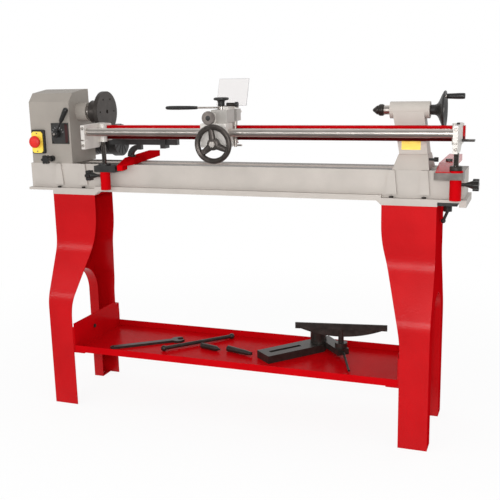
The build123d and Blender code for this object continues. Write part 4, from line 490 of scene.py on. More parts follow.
SIDEWAYS = 0.7  # share of X in the normal of a face that looks along the bed
LEVEL = 0.99  # share of Z in the normal of a level face
WAY_DEPTH = 0.2  # of the ground faces below the top of the bed
COVER_SCREW_R = 4.5
COVER_SCREW_IN = 10.0  # from the sides of the belt cover
COVER_SCREW_UP = (14.0, 100.0)  # above its foot
FAN_RIBS = 12
FAN_RIB = ((-1.0, -1.5, 15.0), (1.6, 1.5, 54.0))  # corners of the upright rib, from the hub
FAN_HUB_PROFILE = ((-1, 0), (-1, 13), (1.5, 13), (2.2, 11), (2.2, 0))
LID_SCREW_R = 3.5
LID_SCREW_IN = (99.0, 51.0)  # from the end of the motor
LID_SCREW_UP = (20.0, 50.0)  # above its axis
GLAND = (75.0, 18.0, 2.0)  # in from the end and the back of the motor, and below its axis
GLAND_FLATS = 19.0
GLAND_HEIGHT = 6.0
GLAND_EDGE = 0.8
GLAND_PROFILE = ((0, 0), (0, 8.5), (4, 8), (8, 6), (9, 4.5), (9, 0))
NUT_SLOTS = 6
NUT_METAL = 0.68  # share of the turn from slot to slot that is metal
NUT_STEPS = 8
NUT_SECTION = ((13.5, 25.8), (13.5, 28.5), (0.5, 28.5), (0.5, 25.8))  # back from the faceplate, and radius
SWITCH_CORNER = 6.0
SWITCH_EDGE = 1.6
SWITCH_SCREW_R = 2.6
SWITCH_SCREW_IN = 6.0  # from the ends of the switch plate
SWITCH_COLLAR_PROFILE = ((-0.5, 8.8), (-0.5, 14), (2, 13.4), (2.6, 12.4), (2.6, 8.8))
BUTTON_PROFILE = ((0, 0), (0.3, 10), (1.2, 15.5), (3.2, 19.6), (6, 21.6), (8, 22), (11.5, 22), (13.4, 21),
                  (14, 19.5), (14, 11.5), (16, 9), (16, 7.9), (40, 7.9), (40, 0))
PRINT_THICK = 0.3
PRINT_EDGE = 0.1
SPEED_BAND_IN = (15.0, 3.0, 4.0)  # two sides from the right edge of the speed plate, and its ends
SPEED_SCREW_R = 2.5
SPEED_SCREW_IN = 5.0
SPEED_HUB_X = 27.0  # from the low corner of the speed plate
SPEED_HUB_Z = 37.0
SPEED_HUB_HEIGHT = 22.0
SPEED_HUB_SCREW_R = 4.5
SPEED_HUB_PROFILE = ((1, 0), (1, 13), (14, 13), (18, 12), (21, 9.5), (SPEED_HUB_HEIGHT, 6.5),
                     (SPEED_HUB_HEIGHT, 0))
SPEED_LEAN = 30.0  # degrees to the right of upright
SPEED_MARKS = 7
SPEED_MARK_FIRST = -75.0  # degrees to the right of upright
SPEED_MARK_STEP = 25.0  # degrees
SPEED_MARK_HALF = 0.8
SPEED_MARK_R = (20.0, 26.0)  # inner and outer end
SPEED_ARM_OUT = 15.0  # from the plate to the arm
SPEED_ARM_PROFILE = ((0, 0), (0, 3.8), (48, 3.8), (50, 5), (53, 7), (60, 8), (94, 9.8), (100, 9.6),
                     (104, 8.4), (107, 5.4), (108, 2), (108, 0))
TAIL_WHEEL_PROFILE = ((0, 8.1), (0, 14.5), (1.5, 16), (13, 16.3), (18, 17.8), (22, 21.5), (26, 28), (30, 37),
                      (34, 46), (37.5, 53), (40, 57.5), (42, 59.5), (44, 60), (45.8, 59.4), (46.7, 57.8),
                      (46.2, 55), (44, 49), (41, 42), (37.5, 34.5), (34, 27), (31.5, 22), (30.5, 19),
                      (31.5, 16), (38.5, 14.5), (40, 13), (40, 8.1))
TAG_X = (579.0, 640.0)  # sides of the yellow plate, in the model's frame
TAG_Z = (966.0, 1000.0)
TAG_THICK = 0.5  # in front of the column, and as much inside it
COLUMN_FOOT = 951.0  # height over the floor where the front of the column starts
COLUMN_FRONT = -38.0  # along Y at that height
COLUMN_LEAN = 0.0851  # millimetres back for each millimetre up
CRANK_PIN_PROFILE = ((-5, 0), (-5, 4), (14, 4), (14, 0))
CRANK_GRIP_PROFILE = ((0, 0), (0, 6.4), (1, 7.8), (3, 8.2), (20, 8.8), (35, 9.4), (50, 9.4), (53.5, 9.1),
                      (55.4, 8.2), (56, 6.6), (56, 0))
DIAL_PROFILE = ((0.9, 0), (0.9, 14), (0, 15.5), (0, 20.4), (1.5, 22), (9.5, 22), (11, 20.5), (11, 5), (32, 5),
                (32, 0))
DIAL_CENTRE_PROFILE = ((0.3, 0), (0.3, 7), (0.9, 8.3), (2, 8.5), (2, 0))
DIAL_STEPS = 72
DIAL_EDGE = 21.5  # points further out are on the coin edge
DIAL_CUT = 0.8  # depth of the coin edge
WHEEL_RIM_PROFILE = ((1.6, 49.5), (0.4, 52), (0, 54), (1.2, 55), (0.4, 56.5), (1.2, 59.5), (4, 62), (8, 63),
                     (12.5, 62.4), (16, 59.5), (18, 55), (17.6, 50.5), (15, 46.8), (10.5, 45), (5.5, 45.8),
                     (2.8, 47.6))
WHEEL_HUB_PROFILE = ((23, 7.1), (23, 18), (21.5, 19.5), (5, 19.5), (3, 18.5), (1.5, 16), (1, 13), (1, 7.1))
WHEEL_SPOKES = (98.0, 218.0, 338.0)  # degrees from +X toward +Z
WHEEL_BOSS_OUT = 38.0
WHEEL_BOSS_PROFILE = ((0, 0), (0, 7.5), (1.4, 9), (10, 9), (10, 0))
SPOKE_DEPTH = 9.5  # behind the front of the rim
SPOKE_MIDDLE = 31.0
SPOKE_LENGTH = 36.0
SPOKE_FOOT = 12.0  # radius at the hub
SPOKE_TIP = 8.5  # radius at the rim
SPOKE_FLAT = 0.72  # depth over width
SPOKE_STEPS = 20
LEVER_CAP_R = 25.0  # of the mushroom head
LEVER_HEIGHT = 39.0  # of the lever above the ram housing
LEVER_ROD = 86.0  # from the axis to the grip
LEVER_ROD_R = 3.0
LEVER_ROD_Z = 6.0  # above the ram housing
LEVER_ROD_IN = 4.0  # length of the rod inside the grip
LEVER_HUB_PROFILE = ((-8, 0), (-8, 13.8), (0.8, 13.8), (1, 12.2), (2, 13), (9.5, 13), (11, 11.8), (11, 0))
LEVER_HEAD_PROFILE = ((10.5, 0), (10.5, 10.4), (12.5, 11.3), (22, 11.2), (26.5, 12.4), (28.6, 15), (29.6, 21),
                      (30.8, 24.2), (33, 25), (36, 24.7), (38.2, 22.5), (39, 17), (39, 0))
LEVER_GRIP_PROFILE = ((0, 0), (0, 4.4), (2, 5.2), (6, 5.5), (7, 5), (9, 5.6), (30, 6.3), (70, 6.75),
                      (100, 6.5), (112, 5.6), (115.4, 3.4), (116, 0))
POST_COLLAR_PROFILE = ((0, 8.3), (0, 18), (1.5, 19.5), (12, 19.5), (14, 17.5), (14, 8.3))
BRACKET_SCREW_R = 5.0
BRACKET_SCREW_IN = (7.0, 13.0)  # from the sides and from the top and foot of the brackets
BRACKET_BOLT = (6.0, 48.0)  # from the outer and front edges of the right bracket
# Strip of painted shadow that the bar casts on the foot of the beam
SHADOW_STRIP_THICK = 0.15
SHADOW_STRIP_HEIGHT = 16.0
HOLDER_ROD_BACK = 43.0  # from the front of the holder
HOLDER_ROD_R = 6.0
HOLDER_ROD_ROOM = 0.2  # faces up to this far outside the rod are its own
HOLDER_PLATE = 10.0
HOLDER_SCREW_R = 4.0
HOLDER_SCREW_X = 12.0  # from the left edge of the holder
HOLDER_SCREW_Y = (8.0, 25.0)  # from its front
THUMB_NUT_PROFILE = ((-1, 0), (-1, 6), (0, 8.5), (8, 8.5), (10, 7), (10, 0))


# Operators, one for each group of pieces

class LATHE_OT_finishes(bpy.types.Operator):
    """Makes the materials of the lathe."""

    bl_idname = "lathe.finishes"
    bl_label = "Finishes"

    def execute(self, context):
        make_finishes(context.scene.lathe_colours)
        return {"FINISHED"}


class LATHE_OT_stand(bpy.types.Operator):
    """Folded end frames, tool tray and their bolts."""

    bl_idname = "lathe.stand"
    bl_label = "Stand"

    def execute(self, context):
        sizes = context.scene.lathe_sizes
        for node in ("end_frame_left", "end_frame_right"):
            dressed(node, "Red gloss enamel", sizes.sheet_edge,
                    [("Dull red enamel", lambda face: abs(face.normal.x) > SIDEWAYS)])
        dressed("tool_tray", "Red satin enamel", sizes.sheet_edge)
        dressed("frame_bolts", "Black oxide steel", sizes.machined_edge)
        return {"FINISHED"}


class LATHE_OT_bed(bpy.types.Operator):
    """Cast bed with ground ways."""

    bl_idname = "lathe.bed"
    bl_label = "Bed"

    def execute(self, context):
        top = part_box("bed")[1].z - WAY_DEPTH * MM

        def ground(face):
            return face.normal.z > LEVEL and face.calc_center_median().z > top

        dressed("bed", "Light hammer paint", context.scene.lathe_sizes.casting_edge,
                [("Ground iron ways", ground)])
        return {"FINISHED"}


class LATHE_OT_headstock(bpy.types.Operator):
    """Headstock housing, belt cover and its screws."""

    bl_idname = "lathe.headstock"
    bl_label = "Headstock"

    def execute(self, context):
        sizes = context.scene.lathe_sizes
        dressed("headstock", "Grey hammer paint", sizes.casting_edge)
        dressed("belt_cover", "Pale hammer paint", sizes.sheet_edge)
        low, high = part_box("belt_cover")
        levels = [low.z + up * MM for up in COVER_SCREW_UP]
        places = grid(inset_ends(low.x, high.x, COVER_SCREW_IN), levels)
        screws("cover_screws", "belt_cover", "Zinc plated steel", Y, COVER_SCREW_R,
               [(x, high.y, z) for x, z in places])
        return {"FINISHED"}


class LATHE_OT_drive(bpy.types.Operator):
    """Motor, belt drive, spindle with its slotted ring nut, and faceplate."""

    bl_idname = "lathe.drive"
    bl_label = "Drive"

    def execute(self, context):
        sizes = context.scene.lathe_sizes
        dressed("motor", "Satin black paint", sizes.machined_edge)
        self.motor_details()
        for node in ("spindle_pulley", "motor_pulley"):
            keep_node(node, "Cast aluminium")
        keep_node("drive_belt", "Belt rubber")
        keep_node("spindle_bearings", "Ground steel")
        dressed("spindle", "Ground steel", sizes.machined_edge)
        self.ring_nut(sizes.machined_edge)
        dressed("faceplate", "Turned black iron", sizes.machined_edge)
        return {"FINISHED"}

    def motor_details(self):
        """Ribs of the fan guard, screws of the terminal lid and the cable gland."""
        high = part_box("motor")[1]
        axis = middle("motor_pulley")
        hub = Vector((high.x, axis.y, axis.z))
        bm = bmesh.new()
        turned(bm, hub, X, FAN_HUB_PROFILE)
        for rib in range(FAN_RIBS):
            verts = slab(bm, *[Vector(corner) * MM for corner in FAN_RIB])
            turn = Matrix.Translation(hub) @ Matrix.Rotation(math.tau * rib / FAN_RIBS, 4, "X")
            bmesh.ops.transform(bm, matrix=turn, verts=verts)
        new_part(bm, "fan_guard", "motor", "Satin black paint", replace=False)
        lid_x = [high.x - inward * MM for inward in LID_SCREW_IN]
        lid_z = [axis.z + up * MM for up in LID_SCREW_UP]
        screws("lid_screws", "motor", "Zinc plated steel", Y, LID_SCREW_R,
               [(x, high.y, z) for x, z in grid(lid_x, lid_z)])
        gland = Vector((high.x, high.y, axis.z)) - Vector(GLAND) * MM
        bm = bmesh.new()
        hexagon(bm, gland, Z, GLAND_FLATS, GLAND_HEIGHT)
        round_edges(bm, GLAND_EDGE * MM)
        turned(bm, gland, -Z, GLAND_PROFILE)
        new_part(bm, "gland_nut", "motor", "Black phenolic", replace=False)

    def ring_nut(self, edge):
        """Slotted ring nut that keeps the spindle bearing, open at its slots to the bright collar."""
        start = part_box("faceplate")[0].x
        axis = middle("faceplate")
        bm = bmesh.new()
        for slot in range(NUT_SLOTS):
            first = math.tau * slot / NUT_SLOTS
            out = Matrix.Rotation(first, 4, "X") @ Z
            corners = [axis + X * (start - along * MM - axis.x) + out * radius * MM
                       for along, radius in NUT_SECTION]
            face = bm.faces.new([bm.verts.new(corner) for corner in corners])
            bmesh.ops.spin(bm, geom=[face, *face.edges, *face.verts], cent=axis, axis=X,
                           angle=math.tau / NUT_SLOTS * NUT_METAL, steps=NUT_STEPS)
        closed_up(bm)
        round_edges(bm, edge)
        new_part(bm, "ring_nut", "spindle", "Zinc plated steel", replace=False)


class LATHE_OT_switch(bpy.types.Operator):
    """Switch box with its yellow plate and mushroom button."""

    bl_idname = "lathe.switch"
    bl_label = "Switch"

    def execute(self, context):
        sizes = context.scene.lathe_sizes
        low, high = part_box("switch_box")
        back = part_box("headstock")[0].y
        bm = bmesh.new()
        slab(bm, low, (high.x, back, high.z))

        def runs_back(edge):
            return abs((edge.verts[0].co - edge.verts[1].co).y) > MM

        def in_front(edge):
            return max(vert.co.y for vert in edge.verts) < low.y + MM

        round_edges(bm, SWITCH_CORNER * MM, runs_back, segments=4)
        round_edges(bm, SWITCH_EDGE * MM, in_front, segments=3)
        new_part(bm, "switch_housing", "switch_box", "Black phenolic")
        dressed("switch_plate", "Yellow ABS", sizes.moulded_edge)
        plate_low, plate_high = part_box("switch_plate")
        ends = inset_ends(plate_low.z, plate_high.z, SWITCH_SCREW_IN)
        across = (plate_low.x + plate_high.x) / 2
        screws("switch_screws", "switch_plate", "Zinc plated steel", -Y, SWITCH_SCREW_R,
               [(across, plate_low.y, z) for z in ends])
        button = middle("stop_button")
        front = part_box("stop_button")[0].y
        head = Vector((button.x, front, button.z))
        spun("stop_mushroom", "stop_button", "Red ABS", head, Y, BUTTON_PROFILE)
        collar = Vector((button.x, plate_low.y, button.z))
        spun("switch_collar", "switch_plate", "Black phenolic", collar, -Y, SWITCH_COLLAR_PROFILE,
             closed=True, replace=False)
        return {"FINISHED"}


class LATHE_OT_speed_control(bpy.types.Operator):
    """Speed plate with plain marks, speed lever and the clamp knob below."""

    bl_idname = "lathe.speed_control"
    bl_label = "Speed control"

    def execute(self, context):
        sizes = context.scene.lathe_sizes
        dressed("speed_plate", "Black panel print", sizes.machined_edge)
        low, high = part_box("speed_plate")
        face = low.y
        bm = bmesh.new()
        left, right, end = SPEED_BAND_IN
        slab(bm, (high.x - left * MM, face - PRINT_THICK * MM, low.z + end * MM),
             (high.x - right * MM, face, high.z - end * MM))
        round_edges(bm, PRINT_EDGE * MM)
        new_part(bm, "speed_band", "speed_plate", "Red panel print", replace=False)
        hub = Vector((low.x + SPEED_HUB_X * MM, face, low.z + SPEED_HUB_Z * MM))
        bm = bmesh.new()
        inner, outer = SPEED_MARK_R
        for mark in range(SPEED_MARKS):
            verts = slab(bm, Vector((-SPEED_MARK_HALF, -PRINT_THICK, inner)) * MM,
                         Vector((SPEED_MARK_HALF, 0, outer)) * MM)
            angle = math.radians(SPEED_MARK_FIRST + mark * SPEED_MARK_STEP)
            turn = Matrix.Translation(hub) @ Matrix.Rotation(angle, 4, "Y")
            bmesh.ops.transform(bm, matrix=turn, verts=verts)
        new_part(bm, "speed_marks", "speed_plate", "White panel print", replace=False)
        corners = grid(inset_ends(low.x, high.x, SPEED_SCREW_IN), inset_ends(low.z, high.z, SPEED_SCREW_IN))
        screws("speed_screws", "speed_plate", "Black oxide steel", -Y, SPEED_SCREW_R,
               [(x, face, z) for x, z in corners])
        bm = bmesh.new()
        turned(bm, hub, -Y, SPEED_HUB_PROFILE)
        lean = math.radians(SPEED_LEAN)
        along = Vector((math.sin(lean), 0, math.cos(lean)))
        turned(bm, hub - Y * SPEED_ARM_OUT * MM, along, SPEED_ARM_PROFILE)
        new_part(bm, "speed_handle", "speed_lever", "Black phenolic")
        screws("speed_hub_screw", "speed_lever", "Zinc plated steel", -Y, SPEED_HUB_SCREW_R,
               [hub - Y * SPEED_HUB_HEIGHT * MM])
        dressed("headstock_knob", "Black phenolic", sizes.knob_edge)
        return {"FINISHED"}


class LATHE_OT_tailstock(bpy.types.Operator):
    """Tailstock casting with quill and live centre."""

    bl_idname = "lathe.tailstock"
    bl_label = "Tailstock"

    def execute(self, context):
        sizes = context.scene.lathe_sizes
        dressed("tailstock", "Pale hammer paint", sizes.casting_edge)
        for node in ("tailstock_clamp", "quill", "tailstock_screw"):
            dressed(node, "Ground steel", sizes.machined_edge)
        for node in ("live_centre_body", "live_centre_point"):
            dressed(node, "Black oxide steel", sizes.moulded_edge)
        dressed("tailstock_knob", "Black phenolic", sizes.moulded_edge)
        self.tag()
        return {"FINISHED"}

    def tag(self):
        """Bare yellow plate on the leaning front of the column."""
        bm = bmesh.new()
        (x0, x1), (z0, z1) = TAG_X, TAG_Z
        slab(bm, Vector((x0, -TAG_THICK, z0)) * MM, Vector((x1, TAG_THICK, z1)) * MM)
        for vert in bm.verts:
            vert.co.y += (COLUMN_FRONT + (vert.co.z / MM - COLUMN_FOOT) * COLUMN_LEAN) * MM
        round_edges(bm, TAG_THICK / 2 * MM)
        new_part(bm, "tailstock_tag", "tailstock", "Yellow ABS", replace=False)


class LATHE_OT_tailstock_wheel(bpy.types.Operator):
    """Dished handwheel of the tailstock with its pin and turning grip."""

    bl_idname = "lathe.tailstock_wheel"
    bl_label = "Tailstock handwheel"

    def execute(self, context):
        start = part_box("tailstock_wheel")[0].x
        axis = middle("tailstock_screw")
        hub = Vector((start, axis.y, axis.z))
        spun("dished_wheel", "tailstock_wheel", "Satin black paint", hub, X, TAIL_WHEEL_PROFILE, closed=True)
        low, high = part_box("crank_grip")
        grip = Vector((low.x, (low.y + high.y) / 2, (low.z + high.z) / 2))
        spun("crank_pin", "tailstock_wheel", "Ground steel", grip, -X, CRANK_PIN_PROFILE, replace=False)
        spun("turning_grip", "crank_grip", "Black phenolic", grip, X, CRANK_GRIP_PROFILE)
        return {"FINISHED"}


class LATHE_OT_copying_frame(bpy.types.Operator):
    """Posts, brackets, bar and beam of the copying frame, with the arms across the bed."""

    bl_idname = "lathe.copying_frame"
    bl_label = "Copying frame"

    def execute(self, context):
        sizes = context.scene.lathe_sizes
        dressed("beam", "Red satin enamel", sizes.sheet_edge)
        dressed("cross_arms", "Red gloss enamel", sizes.sheet_edge,
                [("Dull red enamel", lambda face: face.calc_center_median().x < 0)])
        ring_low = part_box("mount_blocks")[0].z

        def left_ring(face):
            spot = face.calc_center_median()
            return spot.x < 0 and spot.z > ring_low

        dressed("post_sockets", "Red satin enamel", sizes.sheet_edge, [("Satin black paint", left_ring)])
        posts_low, posts_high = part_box("guide_posts")
        post_r = (posts_high.y - posts_low.y) / 2
        foot = Vector((posts_high.x - post_r, posts_low.y + post_r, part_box("post_sockets")[1].z))
        spun("post_collar", "post_sockets", "Black oxide steel", foot, Z, POST_COLLAR_PROFILE,
             closed=True, replace=False)
        dressed("end_brackets", "Cast aluminium", sizes.sheet_edge)
        low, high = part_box("end_brackets")
        side, end = BRACKET_SCREW_IN
        places = grid(inset_ends(low.x, high.x, side), inset_ends(low.z, high.z, end))
        screws("bracket_screws", "end_brackets", "Zinc plated steel", -Y, BRACKET_SCREW_R,
               [(x, low.y, z) for x, z in places])
        inward, back = BRACKET_BOLT
        screws("bracket_bolt", "end_brackets", "Black oxide steel", Z, BRACKET_SCREW_R,
               [(high.x - inward * MM, low.y + back * MM, high.z)])
        dressed("guide_bar", "Ground steel", sizes.machined_edge)
        # Painted shadow of the bar along the foot of the beam
        self.painted_shadow_strip()
        # The posts' dark steel is a painted reflection of dark surroundings
        dressed("guide_posts", "Steel with painted dark reflections", sizes.machined_edge)
        keep_node("rack", "Ground steel")
        # The right mount block takes the paler iron, the left one satin black paint
        dressed("mount_blocks", "Satin black paint", sizes.sheet_edge,
                [("Pale iron", lambda face: face.calc_center_median().x > 0)])
        dressed("arm_bolts", "Black oxide steel", sizes.machined_edge)
        for node in ("arm_clamp_plate", "arm_clamp_lever", "template_rail"):
            dressed(node, "Satin black paint", sizes.sheet_edge)
        for node in ("star_knob_left", "star_knob_right"):
            dressed(node, "Black phenolic", sizes.knob_edge)
        for node in ("post_lock_left", "post_lock_right"):
            dressed(node, "Black oxide steel", sizes.moulded_edge)
        return {"FINISHED"}

    def painted_shadow_strip(self):
        """Thin dark red strip along the foot of the beam's front, below the bar: painted shadow that the bar
        casts on the beam.
        """
        low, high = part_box("beam")
        bm = bmesh.new()
        slab(bm, (low.x, low.y - SHADOW_STRIP_THICK * MM, low.z),
             (high.x, low.y, low.z + SHADOW_STRIP_HEIGHT * MM))
        new_part(bm, "painted_shadow_strip", "beam", "Painted shadow red enamel", replace=False)


class LATHE_OT_carriage(bpy.types.Operator):
    """Saddle, ram housing, ram, lock lever and stop dial."""

    bl_idname = "lathe.carriage"
    bl_label = "Carriage"

    def execute(self, context):
        sizes = context.scene.lathe_sizes
        dressed("saddle", "Cast aluminium", sizes.sheet_edge)
        dressed("ram_housing", "Darker cast aluminium", sizes.sheet_edge)
        keep_node("pinion_shaft", "Ground steel")
        keep_node("cutter", "Ground steel")
        keep_node("tool_ram", "Darker cast aluminium")
        keep_node("follower_pin", "Ground steel")
        dressed("lock_lever", "Ground steel", sizes.machined_edge)
        self.dial()
        return {"FINISHED"}

    def dial(self):
        """Stop dial with a coin edge and a black centre."""
        centre = middle("stop_dial")
        face = Vector((centre.x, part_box("stop_dial")[0].y, centre.z))
        bm = bmesh.new()
        turned(bm, face, Y, DIAL_PROFILE, steps=DIAL_STEPS)
        closed_up(bm)
        for vert in bm.verts:
            out = vert.co - face
            out.y = 0
            step = round(math.atan2(out.z, out.x) / math.tau * DIAL_STEPS)
            if out.length > DIAL_EDGE * MM and step % 2:
                vert.co -= out.normalized() * DIAL_CUT * MM
        new_part(bm, "coin_dial", "stop_dial", "Pale iron")
        spun("dial_centre", "stop_dial", "Black phenolic", face, Y, DIAL_CENTRE_PROFILE, replace=False)


class LATHE_OT_carriage_wheel(bpy.types.Operator):
    """Three-spoked handwheel of the carriage."""

    bl_idname = "lathe.carriage_wheel"
    bl_label = "Carriage handwheel"

    def execute(self, context):
        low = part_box("carriage_wheel")[0]
        centre = middle("pinion_shaft")
        hub = Vector((centre.x, low.y, centre.z))
        bm = bmesh.new()
        turned(bm, hub, Y, WHEEL_RIM_PROFILE, closed=True, steps=2 * ROUND)
        turned(bm, hub, Y, WHEEL_HUB_PROFILE, closed=True)
        for angle in WHEEL_SPOKES:
            out = Vector((math.cos(math.radians(angle)), 0, math.sin(math.radians(angle))))
            turn = Matrix((Y.cross(out), Y, out)).transposed().to_4x4()
            place = Matrix.Translation(hub + Y * SPOKE_DEPTH * MM + out * SPOKE_MIDDLE * MM)
            flat = Matrix.Diagonal((1, SPOKE_FLAT, 1, 1))
            bmesh.ops.create_cone(bm, cap_ends=True, segments=SPOKE_STEPS, radius1=SPOKE_FOOT * MM,
                                  radius2=SPOKE_TIP * MM, depth=SPOKE_LENGTH * MM, matrix=place @ turn @ flat)
        handle = math.radians(WHEEL_SPOKES[1])
        boss = hub + Vector((math.cos(handle), 0, math.sin(handle))) * WHEEL_BOSS_OUT * MM
        turned(bm, boss, Y, WHEEL_BOSS_PROFILE)
        new_part(bm, "spoked_wheel", "carriage_wheel", "Oiled iron")
        return {"FINISHED"}


class LATHE_OT_feed_lever(bpy.types.Operator):
    """Feed lever: steel rod, black grip and mushroom head on the ram housing."""

    bl_idname = "lathe.feed_lever"
    bl_label = "Feed lever"

    def execute(self, context):
        low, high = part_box("feed_lever")
        axis = Vector((high.x - LEVER_CAP_R * MM, (low.y + high.y) / 2, high.z - LEVER_HEIGHT * MM))
        spun("lever_hub", "feed_lever", "Zinc plated steel", axis, Z, LEVER_HUB_PROFILE)
        spun("lever_head", "feed_lever", "Satin black paint", axis, Z, LEVER_HEAD_PROFILE, replace=False)
        rod_start = axis + Z * LEVER_ROD_Z * MM
        grip_start = rod_start - X * LEVER_ROD * MM
        bm = bmesh.new()
        rod(bm, rod_start, grip_start - X * LEVER_ROD_IN * MM, LEVER_ROD_R)
        new_part(bm, "lever_rod", "feed_lever", "Ground steel", replace=False)
        spun("lever_grip", "feed_lever", "Black phenolic", grip_start, -X, LEVER_GRIP_PROFILE, replace=False)
        return {"FINISHED"}


class LATHE_OT_shield(bpy.types.Operator):
    """Clear shield, its holder and thumb nut."""

    bl_idname = "lathe.shield"
    bl_label = "Shield"

    def execute(self, context):
        sizes = context.scene.lathe_sizes
        low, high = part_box("shield_holder")
        rod_axis = Vector((high.x, low.y + HOLDER_ROD_BACK * MM, high.z - HOLDER_ROD_R * MM))

        def on_rod(face):
            out = face.calc_center_median() - rod_axis
            return math.hypot(out.y, out.z) < (HOLDER_ROD_R + HOLDER_ROD_ROOM) * MM

        dressed("shield_holder", "Cast aluminium", sizes.machined_edge, [("Black oxide steel", on_rod)])
        seats = [low + Vector((HOLDER_SCREW_X, back, HOLDER_PLATE)) * MM for back in HOLDER_SCREW_Y]
        screws("holder_screws", "shield_holder", "Black oxide steel", Z, HOLDER_SCREW_R, seats)
        spun("thumb_nut", "shield_holder", "Black phenolic", rod_axis, -X, THUMB_NUT_PROFILE, replace=False)
        dressed("shield", "Clear polycarbonate", sizes.machined_edge)
        return {"FINISHED"}


class LATHE_OT_loose_tools(bpy.types.Operator):
    """Wrench, bar, centres, banjo and tool rest on the tray."""

    bl_idname = "lathe.loose_tools"
    bl_label = "Loose tools"

    def execute(self, context):
        sizes = context.scene.lathe_sizes
        dressed("hand_tools", "Black oxide steel", sizes.machined_edge)
        dressed("banjo", "Black oxide steel", sizes.casting_edge)
        dressed("tool_rest", "Black oxide steel", sizes.sheet_edge)
        return {"FINISHED"}


# Stage

CAMERA_PLACE = Vector((1.009665, -2.63169, 1.215))
CAMERA_LENS = 57.84  # millimetres on a 36 mm sensor
CAMERA_YAW = math.radians(20.216)  # to the left of +Y
CAMERA_PITCH = math.radians(12.388)  # downward
CAMERA_ROLL = math.radians(1.270)
AMBIENT = 0.79  # world light on the object
FRONT_DIM = 0.2  # share of the white studio that metal shows toward the camera's side
LAMP_POWER = 28.0  # watts
LAMP_PLACE = Vector((1.0, -2.63, 1.38))
LAMP_TARGET = Vector((0.0, 0.0, 0.7))
STRIP_POWER = 20.0  # watts
STRIP_PLACE = Vector((-1.0, -2.7, 1.3))
STRIP_TARGET = Vector((-0.8, 0.0, 0.9))
SKY_RANGE = (-0.7, 0.5)  # share of +Y in the directions between which the studio turns from dim to white
FLOOR_RANGE = (-0.4, 0.6)  # the same on the floor, in metres along +Y
FLOOR_SIZE = 16.0  # metres
FLOOR_LEVEL = -0.001  # metres, just below the feet
FLOOR_WHITE = 0.9  # share of plain white in the floor below the lathe
FADE_START = 1.0  # metres from the middle of the lathe where the floor starts to turn plain white
FADE_END = 2.4  # metres, where it is plain white


def studio_share(tree, direction, span):
    """Share of white that runs from the dim front of the studio to its white back, along +Y."""
    split = add_node(tree, "ShaderNodeSeparateXYZ", links={"Vector": direction})
    low, high = span
    values = {"From Min": low, "From Max": high, "To Min": FRONT_DIM, "To Max": 1.0}
    return add_node(tree, "ShaderNodeMapRange", values, {"Value": (split, "Y")})


def background_share(tree, unseen, shown=None, seen=None):
    """Share of white that a ray meets: plain light, metal and glass, or the camera.

    Metal and glass, and the camera, meet plain white where no output is given for them.
    """
    path = add_node(tree, "ShaderNodeLightPath")
    links = {0: (path, "Is Glossy Ray"), 1: (path, "Is Transmission Ray")}
    mirrored = add_node(tree, "ShaderNodeMath", links=links, operation="MAXIMUM")
    links = {"Factor": (mirrored, "Value")}
    if shown:
        links["B"] = shown
    share = add_node(tree, "ShaderNodeMix", {"A": unseen, "B": 1.0}, links)
    links = {"Factor": (path, "Is Camera Ray"), "A": (share, "Result")}
    if seen:
        links["B"] = seen
    return add_node(tree, "ShaderNodeMix", {"B": 1.0}, links)


def add_camera():
    """Camera at the photograph's place and angle."""
    ahead = Vector((-math.sin(CAMERA_YAW) * math.cos(CAMERA_PITCH),
                    math.cos(CAMERA_YAW) * math.cos(CAMERA_PITCH), -math.sin(CAMERA_PITCH)))
    level = Vector((math.cos(CAMERA_YAW), math.sin(CAMERA_YAW), 0))
    low = ahead.cross(level)
    right = level * math.cos(CAMERA_ROLL) + low * math.sin(CAMERA_ROLL)
    down = low * math.cos(CAMERA_ROLL) - level * math.sin(CAMERA_ROLL)
    turn = Matrix((right, -down, -ahead)).transposed().to_4x4()
    lens = bpy.data.cameras.new("Camera")
    lens.lens = CAMERA_LENS
    camera = bpy.data.objects.new("Camera", lens)
    camera.matrix_world = Matrix.Translation(CAMERA_PLACE) @ turn
    bpy.context.scene.collection.objects.link(camera)
    bpy.context.scene.camera = camera


def add_lamp(name, place, target, length, width, power):
    """Soft lamp with a lit rectangle that faces a target."""
    data = bpy.data.lights.new(name, "AREA")
    data.shape = "RECTANGLE"
    data.size = length
    data.size_y = width
    data.energy = power
    lamp = bpy.data.objects.new(name, data)
    turn = (target - place).to_track_quat("-Z", "Y").to_matrix().to_4x4()
    lamp.matrix_world = Matrix.Translation(place) @ turn
    bpy.context.scene.collection.objects.link(lamp)


def add_world():
    """Even dim light on the object, with plain white where the background shows."""
    world = bpy.data.worlds.new("Studio")
    tree = empty_tree(world)
    place = add_node(tree, "ShaderNodeTexCoord")
    studio = studio_share(tree, (place, "Generated"), SKY_RANGE)
    share = background_share(tree, AMBIENT, (studio, "Result"))
    sky = add_node(tree, "ShaderNodeBackground", {"Color": WHITE}, {"Strength": (share, "Result")})
    add_node(tree, "ShaderNodeOutputWorld", links={"Surface": (sky, "Background")})
    bpy.context.scene.world = world


